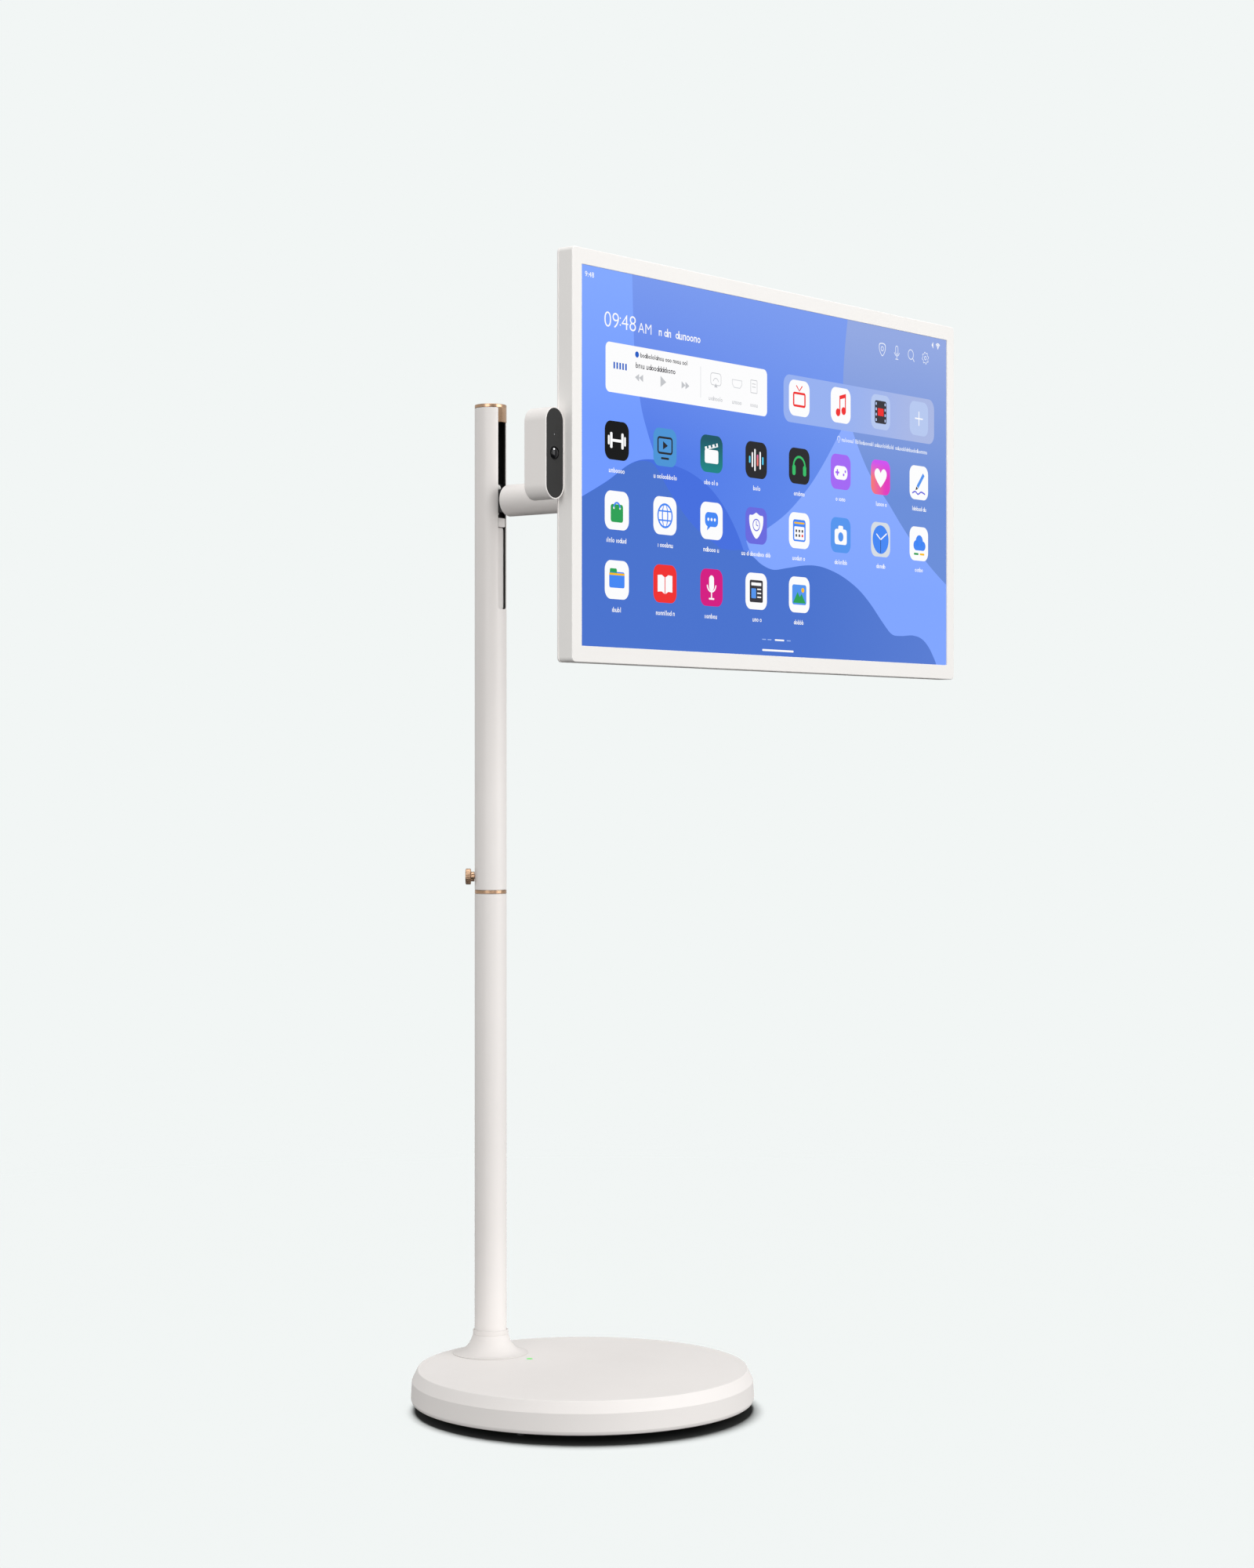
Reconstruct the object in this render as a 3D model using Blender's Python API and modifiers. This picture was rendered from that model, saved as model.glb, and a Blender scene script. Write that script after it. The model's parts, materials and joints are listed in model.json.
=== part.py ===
"""Floor-standing smart display: a flat touch display on a height-adjustable pole
with a round rolling base and a clip-on camera.

The frame stands on the floor at z = 0, with the origin under the middle of the whole
object. The display faces -Y, and +X is to the right of a person who looks at it.
All sizes are in metres.
"""
from math import cos, pi, radians, sin, sqrt

import bmesh
import bpy
from mathutils import Matrix, Vector

# ---- overall layout -------------------------------------------------------------
GAP = 0.0003                 # clearance that touching pieces keep
CENTRE_X = 0.01515           # centre plane of the base, the pole and the display
BASE_Y = 0.04175             # centre of the round base
POLE_Y = BASE_Y + 0.1452     # pole axis, near the base's rear edge
ARM_Z = 1.0886               # height of the arm and of the display's centre

# ---- base -----------------------------------------------------------------------
BASE_TOP_Z, BASE_BOTTOM_Z = 0.0480, 0.0100
BASE_TOP_R, BASE_SHOULDER_R, BASE_SIDE_R = 0.1967, 0.2033, 0.2045
BASE_SHOULDER_Z, BASE_LIP_Z = 0.0345, 0.0140
BASE_WALL = 0.0030
CABLE_HOLE_R = 0.0120        # the way from the base into the pole
TRAY_R, TRAY_Z, TRAY_T = 0.2007, 0.0092, 0.0025
POST_COUNT, POST_RING_R, POST_R = 3, 0.1100, 0.0050
BALLAST_R, BALLAST_Z, BALLAST_T = 0.1840, 0.0346, 0.0100
LIGHT_R, LIGHT_AHEAD, LIGHT_RISE, LIGHT_FOOT_Z, LIGHT_WELL_R = 0.00375, 0.0624, 0.0006, 0.0400, 0.0060
INLET_W, INLET_H, INLET_D, INLET_Z = 0.0114, 0.0104, 0.0160, 0.0220
INLET_SET_BACK, INLET_BORE_R, INLET_BORE_D = 0.0012, 0.0034, 0.0120

# ---- base electronics, places measured from the base's centre ---------------------
BATTERY_HALF_W, BATTERY_FRONT, BATTERY_BACK, BATTERY_T = 0.0750, -0.0800, -0.0050, 0.0190
BOARD_HALF_W, BOARD_FRONT, BOARD_BACK, BOARD_LIFT, BOARD_T = 0.0300, 0.1200, 0.1700, 0.0020, 0.0016
BOARD_BLOCKS = (                             # name, x from and to, y from and to, top above the tray
    ("coil", -0.022, -0.008, 0.130, 0.144, 0.011),
    ("capacitor", 0.008, 0.020, 0.128, 0.140, 0.013),
    ("chip", -0.006, 0.006, 0.150, 0.162, 0.005),
)

# ---- casters --------------------------------------------------------------------
CASTER_COUNT, CASTER_CIRCLE_R = 5, 0.1680
CASTER_WELL_R, CASTER_TRAIL = 0.0285, 0.0090
WHEEL_R, WHEEL_INNER, WHEEL_OUTER, WHEEL_EDGE, WHEEL_SIDES = 0.0140, 0.0044, 0.0119, 0.0010, 20
AXLE_R, AXLE_HOLE_R = 0.0030, 0.0034
STEM_R, STEM_HOLE_R, STEM_TOP_Z = 0.0042, 0.0046, 0.0425
FORK_DISC_R, FORK_DISC_Z0, FORK_DISC_Z1 = 0.0110, 0.0295, 0.0335
WEB_BACK, WEB_FRONT, WEB_HALF_T, WEB_ROUND = -0.0080, 0.0150, 0.0040, 0.0060
WEB_Z0, WEB_Z1 = 0.0070, 0.0300
CASTER_TURNS = (20.0, 200.0, 110.0, 290.0, 60.0)     # trail direction of each caster, degrees

# ---- pole -----------------------------------------------------------------------
POLE_R, POLE_BORE_R = 0.0195, 0.0175
SPIGOT_R, SPIGOT_BORE_R, SPIGOT_Z0, SPIGOT_Z1 = 0.0171, 0.0146, 0.5550, 0.6780
FLANGE_R, FLANGE_T, FLANGE_TOP_Z, FLANGE_BORE_R = 0.0280, 0.0030, 0.1120, 0.0130
COLLAR_TOP_Z, COLLAR_TOP_R, COLLAR_FOOT_R, COLLAR_RIM_T = 0.0772, 0.0215, 0.0460, 0.0006
COLLAR_POCKET, COLLAR_TAPER = 0.0005, 0.0040
RING_Z, RING_T = 0.6100, 0.0042
UPPER_TOP_Z = 1.2027
CAP_T, CAP_EDGE, CAP_PLUG_Z, TAB_Z = 0.0040, 0.0006, 1.1900, 1.1850
SLOT_HALF_W, SLOT_BOTTOM_Z, SLOT_CORNER_R = 0.0070, 0.9570, 0.0030
KNOB_Z, KNOB_HOLE_R = 0.6305, 0.0034
KNOB_TURN = radians(128.4)   # where the knob points, about +Z from +X
KNOB_PROFILE = (             # radius, distance from the pole's axis
    (0, 0.0306), (0.0085, 0.0306), (0.00975, 0.0296), (0.00975, 0.0248), (0.0090, 0.0240),
    (0.0061, 0.0240), (0.0061, 0.0199), (0.0030, 0.0199), (0.0030, 0.0135), (0, 0.0135),
)

# ---- height slide, measured from the pole's axis ---------------------------------
GAS_Y, GAS_R, GAS_BORE_R, ROD_R = -0.0015, 0.0105, 0.0044, 0.0040
GAS_BOTTOM_Z, GAS_TOP_Z, GAS_FLOOR_T, SEAT_Z = 0.6843, 0.9250, 0.0060, 0.6783
ROD_Z0, ROD_Z1, ROD_SOCKET_Z = 0.8000, 1.0640, 1.0665
RAIL_HALF_W, RAIL_FRONT, RAIL_BACK, RAIL_Z0, RAIL_Z1 = 0.0070, 0.0100, 0.0155, 0.7000, 1.1880
GROOVE_HALF_W, GROOVE_DEPTH = 0.0030, 0.0030
CARRIAGE_Z0, CARRIAGE_Z1 = 1.0550, 1.1100
CARRIAGE_HALF_W, CARRIAGE_FRONT, CARRIAGE_BACK = 0.0095, -0.0110, 0.0092
TONGUE_HALF_W, TONGUE_FRONT, TONGUE_BACK, TONGUE_SHORT = 0.0026, 0.0050, 0.0126, 0.0020
NECK_HALF_W, NECK_HALF_H, NECK_FRONT, NECK_BACK = 0.0062, 0.0140, -0.0330, -0.0080
PLUG_FRONT, PLUG_BACK, PLUG_SLACK = -0.0420, -0.0312, 0.0004
STRIP_FRONT, STRIP_BACK, STRIP_TOP_Z = -0.01475, -0.01325, 1.0680
LUG_HALF_W, LUG_FRONT, LUG_Z0, LUG_Z1 = 0.0063, -0.0180, 1.0570, 1.0681
PAD_OUT, PAD_HALF_D, PAD_SHORT, PAD_ROUND = 0.0156, 0.0060, 0.0020, 0.0020

# ---- arm and head, measured from the pole's axis ---------------------------------
ARM_R, ARM_BORE_R, ARM_CHAMFER = 0.0194, 0.0170, 0.0010
ARM_ROOT, ARM_END = -0.0300, -0.3260
YOKE_PLUG_L, YOKE_DISC_T = 0.0260, 0.0050
SWIVEL_AT, TILT_AT = -0.3450, -0.3700
PIN_R, PIN_HOLE_R, PIN_HEAD_R, PIN_HEAD_TOP, PIN_END = 0.0041, 0.0044, 0.0065, 0.0023, 0.0005
EAR_HALF_W, EAR_IN, EAR_OUT, EAR_ROOT, EAR_MOUTH_BACK = 0.0120, 0.0113, 0.0180, 0.0040, 0.0125
BARREL_R, TILT_BARREL_R, TILT_BARREL_HALF, KNUCKLE_HALF = 0.0110, 0.0090, 0.0100, 0.0080
BRACKET_EAR_OUT = 0.0155
HUB_SHAFT_R, HUB_HOLE_R, HUB_DISC_R = 0.0110, 0.0114, 0.0340
HUB_DISC_BACK, HUB_DISC_FRONT, HUB_SHAFT_TIP = 0.0100, 0.0050, -0.0083     # behind the rear housing
NUT_R, NUT_FRONT, NUT_BACK = 0.0150, -0.0080, -0.0050
HUB_PLATE_R, HUB_PLATE_BACK = 0.0450, 0.0046

# ---- display, depths measured from its front face --------------------------------
DISPLAY_W, DISPLAY_H, DISPLAY_T = 0.7400, 0.4330, 0.0210
FRONT_Y = POLE_Y - 0.4332
WINDOW_W, WINDOW_H = 0.7084, 0.3985
CORNER_R, INNER_CORNER_R, FRAME_EDGE = 0.0050, 0.0030, 0.0008
FRAME_WALL, LIP_T, FRAME_DEPTH = 0.0022, 0.0018, 0.0185
PANEL_W, PANEL_H, GLASS_T, LCD_DEPTH0, LCD_DEPTH1 = 0.7160, 0.4060, 0.0018, 0.0042, 0.0102
CHASSIS_W, CHASSIS_H, CHASSIS_DEPTH0, CHASSIS_DEPTH1 = 0.7220, 0.4120, 0.0105, 0.0117
HUB_POST_AT, HUB_POST_R = 0.0280, 0.0045
BUMP_W, BUMP_H, BUMP_T, BUMP_WALL, BUMP_R = 0.4000, 0.2400, 0.0120, 0.0024, 0.0200
BACK_Y = FRONT_Y + DISPLAY_T                 # rear face of the flat part
BUMP_Y = BACK_Y + BUMP_T                     # rear face of the central housing
GRILLE_COUNT, GRILLE_START, GRILLE_STEP, GRILLE_HALF_W = 8, 0.2000, 0.0100, 0.0012
GRILLE_Z0, GRILLE_Z1 = -0.1950, -0.1750
BUTTONS = (("power_button", 0.140), ("volume_up_button", 0.112), ("volume_down_button", 0.094))
BUTTON_DEPTH, BUTTON_W, BUTTON_H, BUTTON_SLACK = 0.0115, 0.0040, 0.0120, 0.0007
BUTTON_L, BUTTON_PROUD = 0.0062, 0.0008
PORT_DEPTH, PORT_T, PORT_Z, PORT_H = 0.0260, 0.0084, -0.0600, 0.0560
PORT_SET_BACK, PORT_D, SOCKET_D = 0.0004, 0.0150, 0.0115
SOCKETS = (                                  # name, place along the panel, width, height
    ("hdmi", 0.0180, 0.0152, 0.0056),
    ("usb_a", -0.0010, 0.0132, 0.0056),
    ("usb_c", -0.0170, 0.0090, 0.0032),
)
CARD_DEPTH, CARD_T = 0.0160, 0.0016          # the circuit boards behind the chassis
MAIN_BOARD = (0.040, 0.182, -0.100, 0.075)   # x from and to, z from and to
POWER_BOARD = (-0.180, -0.045, -0.060, 0.060)
MAIN_CHIPS = (                               # x, z, width, height, rise
    (0.085, 0.010, 0.050, 0.050, 0.008),
    (0.150, -0.010, 0.018, 0.018, 0.002),
    (0.075, -0.060, 0.030, 0.012, 0.006),
)
POWER_CHIPS = (
    (-0.140, 0.020, 0.030, 0.024, 0.009),
    (-0.095, 0.025, 0.014, 0.014, 0.010),
    (-0.100, -0.030, 0.040, 0.016, 0.004),
)
SPEAKER_IN, SPEAKER_OUT, SPEAKER_Z0, SPEAKER_Z1 = 0.1850, 0.3050, -0.2010, -0.1690
SPEAKER_DEPTH0, SPEAKER_DEPTH1, SPEAKER_ROUND = 0.0120, 0.0182, 0.0040
DOCK_DEPTH0, DOCK_DEPTH1, DOCK_HALF_H, DOCK_OUT = 0.0125, 0.0180, 0.0300, 0.0018

# ---- camera ---------------------------------------------------------------------
CAMERA_W, CAMERA_H, CAMERA_T, CAMERA_EDGE = 0.0300, 0.0960, 0.0295, 0.0007
CAMERA_X = CENTRE_X - DISPLAY_W / 2 - GAP - CAMERA_W / 2
CAMERA_Y0 = FRONT_Y + 0.0108                 # front rim of the camera
FACE_W, FACE_H, FACE_T, FACE_DEPTH = 0.0270, 0.0930, 0.0015, 0.0004
POCKET_W, POCKET_H, POCKET_FLOOR_T = 0.0240, 0.0900, 0.0025
LENS_R, LENS_HOLE_R, LENS_PROUD, LENS_CROWN, LENS_BACK = 0.00675, 0.0071, 0.0012, 0.0016, 0.0085
SENSOR_CARD = (0.0090, 0.0300, 0.0090, 0.0106)       # half width, half height, depth from and to
SENSOR = (0.0060, 0.0060, 0.0100, 0.0140)
MAGNET_X0, MAGNET_X1, MAGNET_HALF_H, MAGNET_DEPTH0, MAGNET_DEPTH1 = 0.0092, 0.0117, 0.0200, 0.0040, 0.0240

X, Y, Z = Vector((1, 0, 0)), Vector((0, 1, 0)), Vector((0, 0, 1))

for old in list(bpy.data.objects):
    bpy.data.objects.remove(old, do_unlink=True)

parts = bpy.data.collections.new("smart_display")
guides = bpy.data.collections.new("smart_display_cutters")
bpy.context.scene.collection.children.link(parts)
bpy.context.scene.collection.children.link(guides)


# ---- tools ----------------------------------------------------------------------
def finish(name, colour, roughness=0.5, metallic=0.0):
    """A Principled material."""
    made = bpy.data.materials.new(name)
    made.use_nodes = True
    shader = made.node_tree.nodes["Principled BSDF"]
    shader.inputs["Base Color"].default_value = (*colour, 1.0)
    shader.inputs["Roughness"].default_value = roughness
    shader.inputs["Metallic"].default_value = metallic
    return made


def add(name, mesh, place=(0, 0, 0), axis=None):
    """A new part whose local +Z points along axis."""
    made = bpy.data.objects.new(name, mesh)
    made.location = place
    if axis is not None:
        made.rotation_mode = "QUATERNION"
        made.rotation_quaternion = Vector(axis).to_track_quat("Z", "Y")
    parts.objects.link(made)
    return made


def smooth(made):
    """Round walls shade smooth, and real edges stay sharp."""
    made.data.shade_smooth()
    made.data.set_sharp_from_angle(angle=radians(32))
    return made


def box(name, low, high, corner=0.0, along=Y, steps=4):
    """A box between two corners, with the four edges along one axis rounded."""
    low, high = Vector(low), Vector(high)
    shape = bmesh.new()
    bmesh.ops.create_cube(shape, size=1.0)
    bmesh.ops.scale(shape, vec=high - low, verts=shape.verts)
    if corner:
        edges = [e for e in shape.edges
                 if abs((e.verts[0].co - e.verts[1].co).normalized().dot(along)) > 0.99]
        bmesh.ops.bevel(shape, geom=edges, offset=corner, segments=steps, profile=0.5, affect="EDGES")
    mesh = bpy.data.meshes.new(name)
    shape.to_mesh(mesh)
    shape.free()
    return add(name, mesh, (low + high) / 2)


def rod(name, start, end, radius, sides=24):
    """A round bar between two points."""
    start, end = Vector(start), Vector(end)
    shape = bmesh.new()
    bmesh.ops.create_cone(shape, cap_ends=True, segments=sides, radius1=radius, radius2=radius,
                          depth=(end - start).length)
    mesh = bpy.data.meshes.new(name)
    shape.to_mesh(mesh)
    shape.free()
    return smooth(add(name, mesh, (start + end) / 2, end - start))


def turned(name, profile, place=(0, 0, 0), axis=Z, sides=48, closed=True, start=0.0):
    """A profile of (radius, height) turned about an axis, put in the order that faces outwards."""
    ends = zip(profile, profile[1:] + profile[:1])
    if sum(r0 * h1 - r1 * h0 for (r0, h0), (r1, h1) in ends) > 0:
        profile = profile[::-1]
    mesh = bpy.data.meshes.new(name)
    points = [(r * cos(start), r * sin(start), h) for r, h in profile]
    edges = [(i, i + 1) for i in range(len(points) - 1)]
    if closed:
        edges.append((len(points) - 1, 0))
    mesh.from_pydata(points, edges, [])
    made = add(name, mesh, place, axis)
    screw = made.modifiers.new("turn", "SCREW")
    screw.steps = screw.render_steps = sides
    screw.use_merge_vertices = True
    screw.merge_threshold = 0.00001
    screw.use_smooth_shade = False
    return made


def slab(name, outline, place, thickness, facing=Y):
    """A flat outline, thickened along one axis about its place.

    Its points are (x, z) for a slab that faces Y, (y, z) for X, and (x, y) for Z.
    """
    drawing = bpy.data.curves.new(name, "CURVE")
    drawing.dimensions = "2D"
    drawing.fill_mode = "BOTH"
    drawing.extrude = thickness / 2
    spline = drawing.splines.new("POLY")
    spline.points.add(len(outline) - 1)
    for point, (u, v) in zip(spline.points, outline):
        point.co = (u, v, 0, 1)
    spline.use_cyclic_u = True
    drawn = bpy.data.objects.new(name + "_outline", drawing)
    guides.objects.link(drawn)
    bpy.context.view_layer.update()
    shown = drawn.evaluated_get(bpy.context.evaluated_depsgraph_get())
    mesh = bpy.data.meshes.new_from_object(shown)
    bpy.data.objects.remove(drawn, do_unlink=True)
    shape = bmesh.new()
    shape.from_mesh(mesh)
    bmesh.ops.remove_doubles(shape, verts=shape.verts, dist=0.00001)
    bmesh.ops.recalc_face_normals(shape, faces=shape.faces)
    if facing is not Z:
        shape.transform(Matrix.Rotation(radians(90), 4, "X"))
    if facing is X:
        shape.transform(Matrix.Rotation(radians(90), 4, "Z"))
    shape.to_mesh(mesh)
    shape.free()
    mesh.name = name
    return smooth(add(name, mesh, place))


def pill(width, height, steps=12):
    """A tall outline with round ends."""
    radius, reach = width / 2, (height - width) / 2
    turns = [pi * i / steps for i in range(steps + 1)]
    top = [(radius * cos(turn), reach + radius * sin(turn)) for turn in turns]
    return top + [(-u, -v) for u, v in top]


def tongue(radius, length, turn=0.0, steps=12):
    """A flat bar's outline with one round end, which points along the turn."""
    points = [(radius * cos(pi * i / steps - pi / 2), radius * sin(pi * i / steps - pi / 2))
              for i in range(steps + 1)]
    points += [(-length, radius), (-length, -radius)]
    return [(u * cos(turn) - v * sin(turn), u * sin(turn) + v * cos(turn)) for u, v in points]


def guide(made):
    """Marks a shape as a cutter or a piece of another shape."""
    parts.objects.unlink(made)
    guides.objects.link(made)
    made.hide_render = True
    made.display_type = "WIRE"
    return made


def combine(body, operation, others):
    """Adds one boolean step for each of the others, which become guides."""
    for other in others:
        step = body.modifiers.new(operation.lower(), "BOOLEAN")
        step.operation = operation
        step.solver = "EXACT"
        step.object = guide(other)
    return body


def cut(body, *others):
    """Takes the others away from a part."""
    return combine(body, "DIFFERENCE", others)


def join(body, *others):
    """Makes one solid of a part and the others."""
    return combine(body, "UNION", others)


def soften(body, width, steps=2):
    """Rounds a part's sharp edges."""
    step = body.modifiers.new("soft_edges", "BEVEL")
    step.width = width
    step.segments = steps
    step.limit_method = "ANGLE"
    step.angle_limit = radians(40)
    return body


def paint(material, *bodies):
    """Gives parts their one material."""
    for body in bodies:
        body.data.materials.clear()
        body.data.materials.append(material)


def hold(name, place, *bodies):
    """Parents a moving group to an empty on its joint's axis."""
    pivot = bpy.data.objects.new(name, None)
    pivot.location = place
    parts.objects.link(pivot)
    for body in bodies:
        body.parent = pivot
        body.matrix_parent_inverse = Matrix.Translation(-Vector(place))
    return pivot


def from_pole(x, y, z):
    """A point given from the pole's axis."""
    return Vector((CENTRE_X + x, POLE_Y + y, z))


def on_display(x, depth, z):
    """A point given from the display's centre, with depth behind its front face."""
    return Vector((CENTRE_X + x, FRONT_Y + depth, ARM_Z + z))


# ---- materials ------------------------------------------------------------------
white = finish("white_plastic", (0.86, 0.84, 0.82), 0.45)
white_paint = finish("white_painted_tube", (0.86, 0.84, 0.82), 0.38)
bronze = finish("bronze", (0.44, 0.23, 0.12), 0.28, 1.0)
steel = finish("steel", (0.55, 0.56, 0.58), 0.35, 1.0)
iron = finish("cast_iron", (0.08, 0.08, 0.085), 0.7, 0.6)
black = finish("black_plastic", (0.02, 0.02, 0.022), 0.5)
rubber = finish("grey_rubber", (0.12, 0.12, 0.125), 0.8)
nylon = finish("nylon", (0.75, 0.75, 0.72), 0.5)
circuit = finish("circuit_board", (0.02, 0.16, 0.08), 0.4)
glass = finish("display_glass", (0.10, 0.22, 0.60), 0.08)
face_grey = finish("camera_face", (0.04, 0.04, 0.04), 0.3)
lens_black = finish("lens", (0.005, 0.005, 0.006), 0.05)
green = finish("status_light", (0.10, 0.80, 0.25), 0.3)

# ---- base -----------------------------------------------------------------------
def base_cover():
    """The white shell: a flat top, a sloping rim and a slightly tapered side."""
    outer = [(0, BASE_TOP_Z), (BASE_TOP_R, BASE_TOP_Z), (BASE_SHOULDER_R, BASE_SHOULDER_Z),
             (BASE_SIDE_R, BASE_LIP_Z), (BASE_SIDE_R - 0.0008, BASE_BOTTOM_Z + 0.0012),
             (BASE_SIDE_R - 0.0020, BASE_BOTTOM_Z)]
    inner = [(BASE_SIDE_R - BASE_WALL, BASE_BOTTOM_Z), (BASE_SIDE_R - BASE_WALL, BASE_LIP_Z),
             (BASE_SHOULDER_R - BASE_WALL, BASE_SHOULDER_Z - 0.0010),
             (BASE_TOP_R - 0.0024, BASE_TOP_Z - BASE_WALL), (0, BASE_TOP_Z - BASE_WALL)]
    cover = turned("base_cover", outer + inner, (CENTRE_X, BASE_Y, 0), sides=64, closed=False)
    pole_hole = upright("pole_hole", 0, 0.040, 0.060, CABLE_HOLE_R, 24)
    light_hole = upright("light_hole", -LIGHT_AHEAD, 0.040, 0.060, LIGHT_R + GAP, 20)
    rear = BASE_Y + BASE_SIDE_R
    w, h = INLET_W / 2 + GAP, INLET_H / 2 + GAP
    inlet_hole = box("inlet_hole", (CENTRE_X - w, rear - 0.010, INLET_Z - h),
                     (CENTRE_X + w, rear + 0.010, INLET_Z + h))
    return cut(cover, pole_hole, light_hole, inlet_hole)


def upright(name, y, z0, z1, radius, sides):
    """A vertical bar on the centre plane, y ahead of or behind the pole's axis."""
    return rod(name, from_pole(0, y, z0), from_pole(0, y, z1), radius, sides)


def caster_places():
    """The point on the floor under each caster's stem."""
    for i in range(CASTER_COUNT):
        turn = radians(-90 + 360 / CASTER_COUNT * i)
        yield Vector((CENTRE_X + CASTER_CIRCLE_R * cos(turn), BASE_Y + CASTER_CIRCLE_R * sin(turn), 0))


def base_tray():
    """The floor plate, with a well for each caster and posts up to the ballast."""
    low, high = Vector((CENTRE_X, BASE_Y, TRAY_Z)), Vector((CENTRE_X, BASE_Y, TRAY_Z + TRAY_T))
    tray = rod("base_tray", low, high, TRAY_R, 64)
    wells = [rod(f"well_{i + 1}", p, p + 0.030 * Z, CASTER_WELL_R, 24)
             for i, p in enumerate(caster_places())]
    posts = []
    for i in range(POST_COUNT):
        turn = radians(90 + 360 / POST_COUNT * i)
        foot = low + Vector((POST_RING_R * cos(turn), POST_RING_R * sin(turn), 0.001))
        posts.append(rod(f"post_{i + 1}", foot, Vector((foot.x, foot.y, BALLAST_Z - GAP)), POST_R, 12))
    return join(cut(tray, *wells), *posts)


def ballast_plate():
    """The heavy disc that keeps the stand upright."""
    low = Vector((CENTRE_X, BASE_Y, BALLAST_Z))
    plate = rod("ballast_plate", low, low + BALLAST_T * Z, BALLAST_R, 64)
    holes = [rod(f"stem_hole_{i + 1}", p + 0.030 * Z, p + 0.060 * Z, STEM_HOLE_R, 16)
             for i, p in enumerate(caster_places())]
    cable = upright("cable_hole", 0, 0.030, 0.060, CABLE_HOLE_R, 24)
    light = upright("light_well", -LIGHT_AHEAD, 0.030, 0.060, LIGHT_WELL_R, 16)
    return cut(plate, *holes, cable, light)


def base_electronics():
    """The battery, the charging board, the power inlet and the status light."""
    z0 = TRAY_Z + TRAY_T + GAP
    battery = box("battery_pack", (CENTRE_X - BATTERY_HALF_W, BASE_Y + BATTERY_FRONT, z0),
                  (CENTRE_X + BATTERY_HALF_W, BASE_Y + BATTERY_BACK, z0 + BATTERY_T), 0.006, X)
    board = box("charge_board", (CENTRE_X - BOARD_HALF_W, BASE_Y + BOARD_FRONT, z0 + BOARD_LIFT),
                (CENTRE_X + BOARD_HALF_W, BASE_Y + BOARD_BACK, z0 + BOARD_LIFT + BOARD_T))
    for name, x0, x1, y0, y1, top in BOARD_BLOCKS:
        join(board, box(name, (CENTRE_X + x0, BASE_Y + y0, z0 + BOARD_LIFT + 0.001),
                        (CENTRE_X + x1, BASE_Y + y1, z0 + top)))
    rear = BASE_Y + BASE_SIDE_R - INLET_SET_BACK
    inlet = box("power_inlet", (CENTRE_X - INLET_W / 2, rear - INLET_D, INLET_Z - INLET_H / 2),
                (CENTRE_X + INLET_W / 2, rear, INLET_Z + INLET_H / 2))
    cut(inlet, rod("inlet_bore", (CENTRE_X, rear - INLET_BORE_D, INLET_Z),
                   (CENTRE_X, rear + 0.002, INLET_Z), INLET_BORE_R, 20))
    top = BASE_TOP_Z + LIGHT_RISE
    light = turned("status_light", [(0, top), (LIGHT_R - 0.0008, top - 0.0001), (LIGHT_R, BASE_TOP_Z),
                                    (LIGHT_R, LIGHT_FOOT_Z), (0, LIGHT_FOOT_Z)],
                   from_pole(0, -LIGHT_AHEAD, 0), sides=20, closed=False)
    paint(black, battery, inlet)
    paint(circuit, board)
    paint(green, light)


def caster(index, place):
    """A twin-wheel caster: a swivelling fork with a centre web, and a wheel on each side of it."""
    turn = radians(CASTER_TURNS[index])
    trail = Vector((cos(turn), sin(turn), 0))
    across = Vector((-sin(turn), cos(turn), 0))
    hub = place + CASTER_TRAIL * trail + WHEEL_R * Z
    stem = turned(f"caster_fork_{index + 1}",
                  [(0, STEM_TOP_Z), (STEM_R, STEM_TOP_Z), (STEM_R, FORK_DISC_Z1),
                   (FORK_DISC_R, FORK_DISC_Z1), (FORK_DISC_R, FORK_DISC_Z0), (0, FORK_DISC_Z0)],
                  place, sides=20, closed=False)
    web = box("web", (WEB_BACK, -WEB_HALF_T, WEB_Z0), (WEB_FRONT, WEB_HALF_T, WEB_Z1), WEB_ROUND, Y, 3)
    web.location = place + Matrix.Rotation(turn, 4, "Z") @ web.location
    web.rotation_euler = (0, 0, turn)
    axle_hole = rod("axle_hole", hub - 0.010 * across, hub + 0.010 * across, AXLE_HOLE_R, 16)
    fork = cut(join(stem, web), axle_hole)
    rim = WHEEL_R / cos(pi / WHEEL_SIDES)
    side = [(0, WHEEL_OUTER), (rim - WHEEL_EDGE, WHEEL_OUTER), (rim, WHEEL_OUTER - WHEEL_EDGE),
            (rim, WHEEL_INNER), (AXLE_R, WHEEL_INNER)]
    profile = side + [(r, -h) for r, h in reversed(side)]
    wheels = turned(f"caster_wheels_{index + 1}", profile, hub, across, WHEEL_SIDES, False,
                    pi / WHEEL_SIDES)
    paint(black, fork)
    paint(rubber, wheels)
    hold(f"caster_swivel_{index + 1}", place, fork)
    hold(f"caster_axle_{index + 1}", hub, wheels)


paint(white, base_cover())
paint(steel, base_tray())
paint(iron, ballast_plate())
base_electronics()
for number, spot in enumerate(caster_places()):
    caster(number, spot)


# ---- pole -----------------------------------------------------------------------
def tube(name, low, high, outer, inner, sides=48):
    """A tube on the pole's axis."""
    profile = [(outer, high), (outer, low), (inner, low), (inner, high)]
    return turned(name, profile, from_pole(0, 0, 0), sides=sides)


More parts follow.
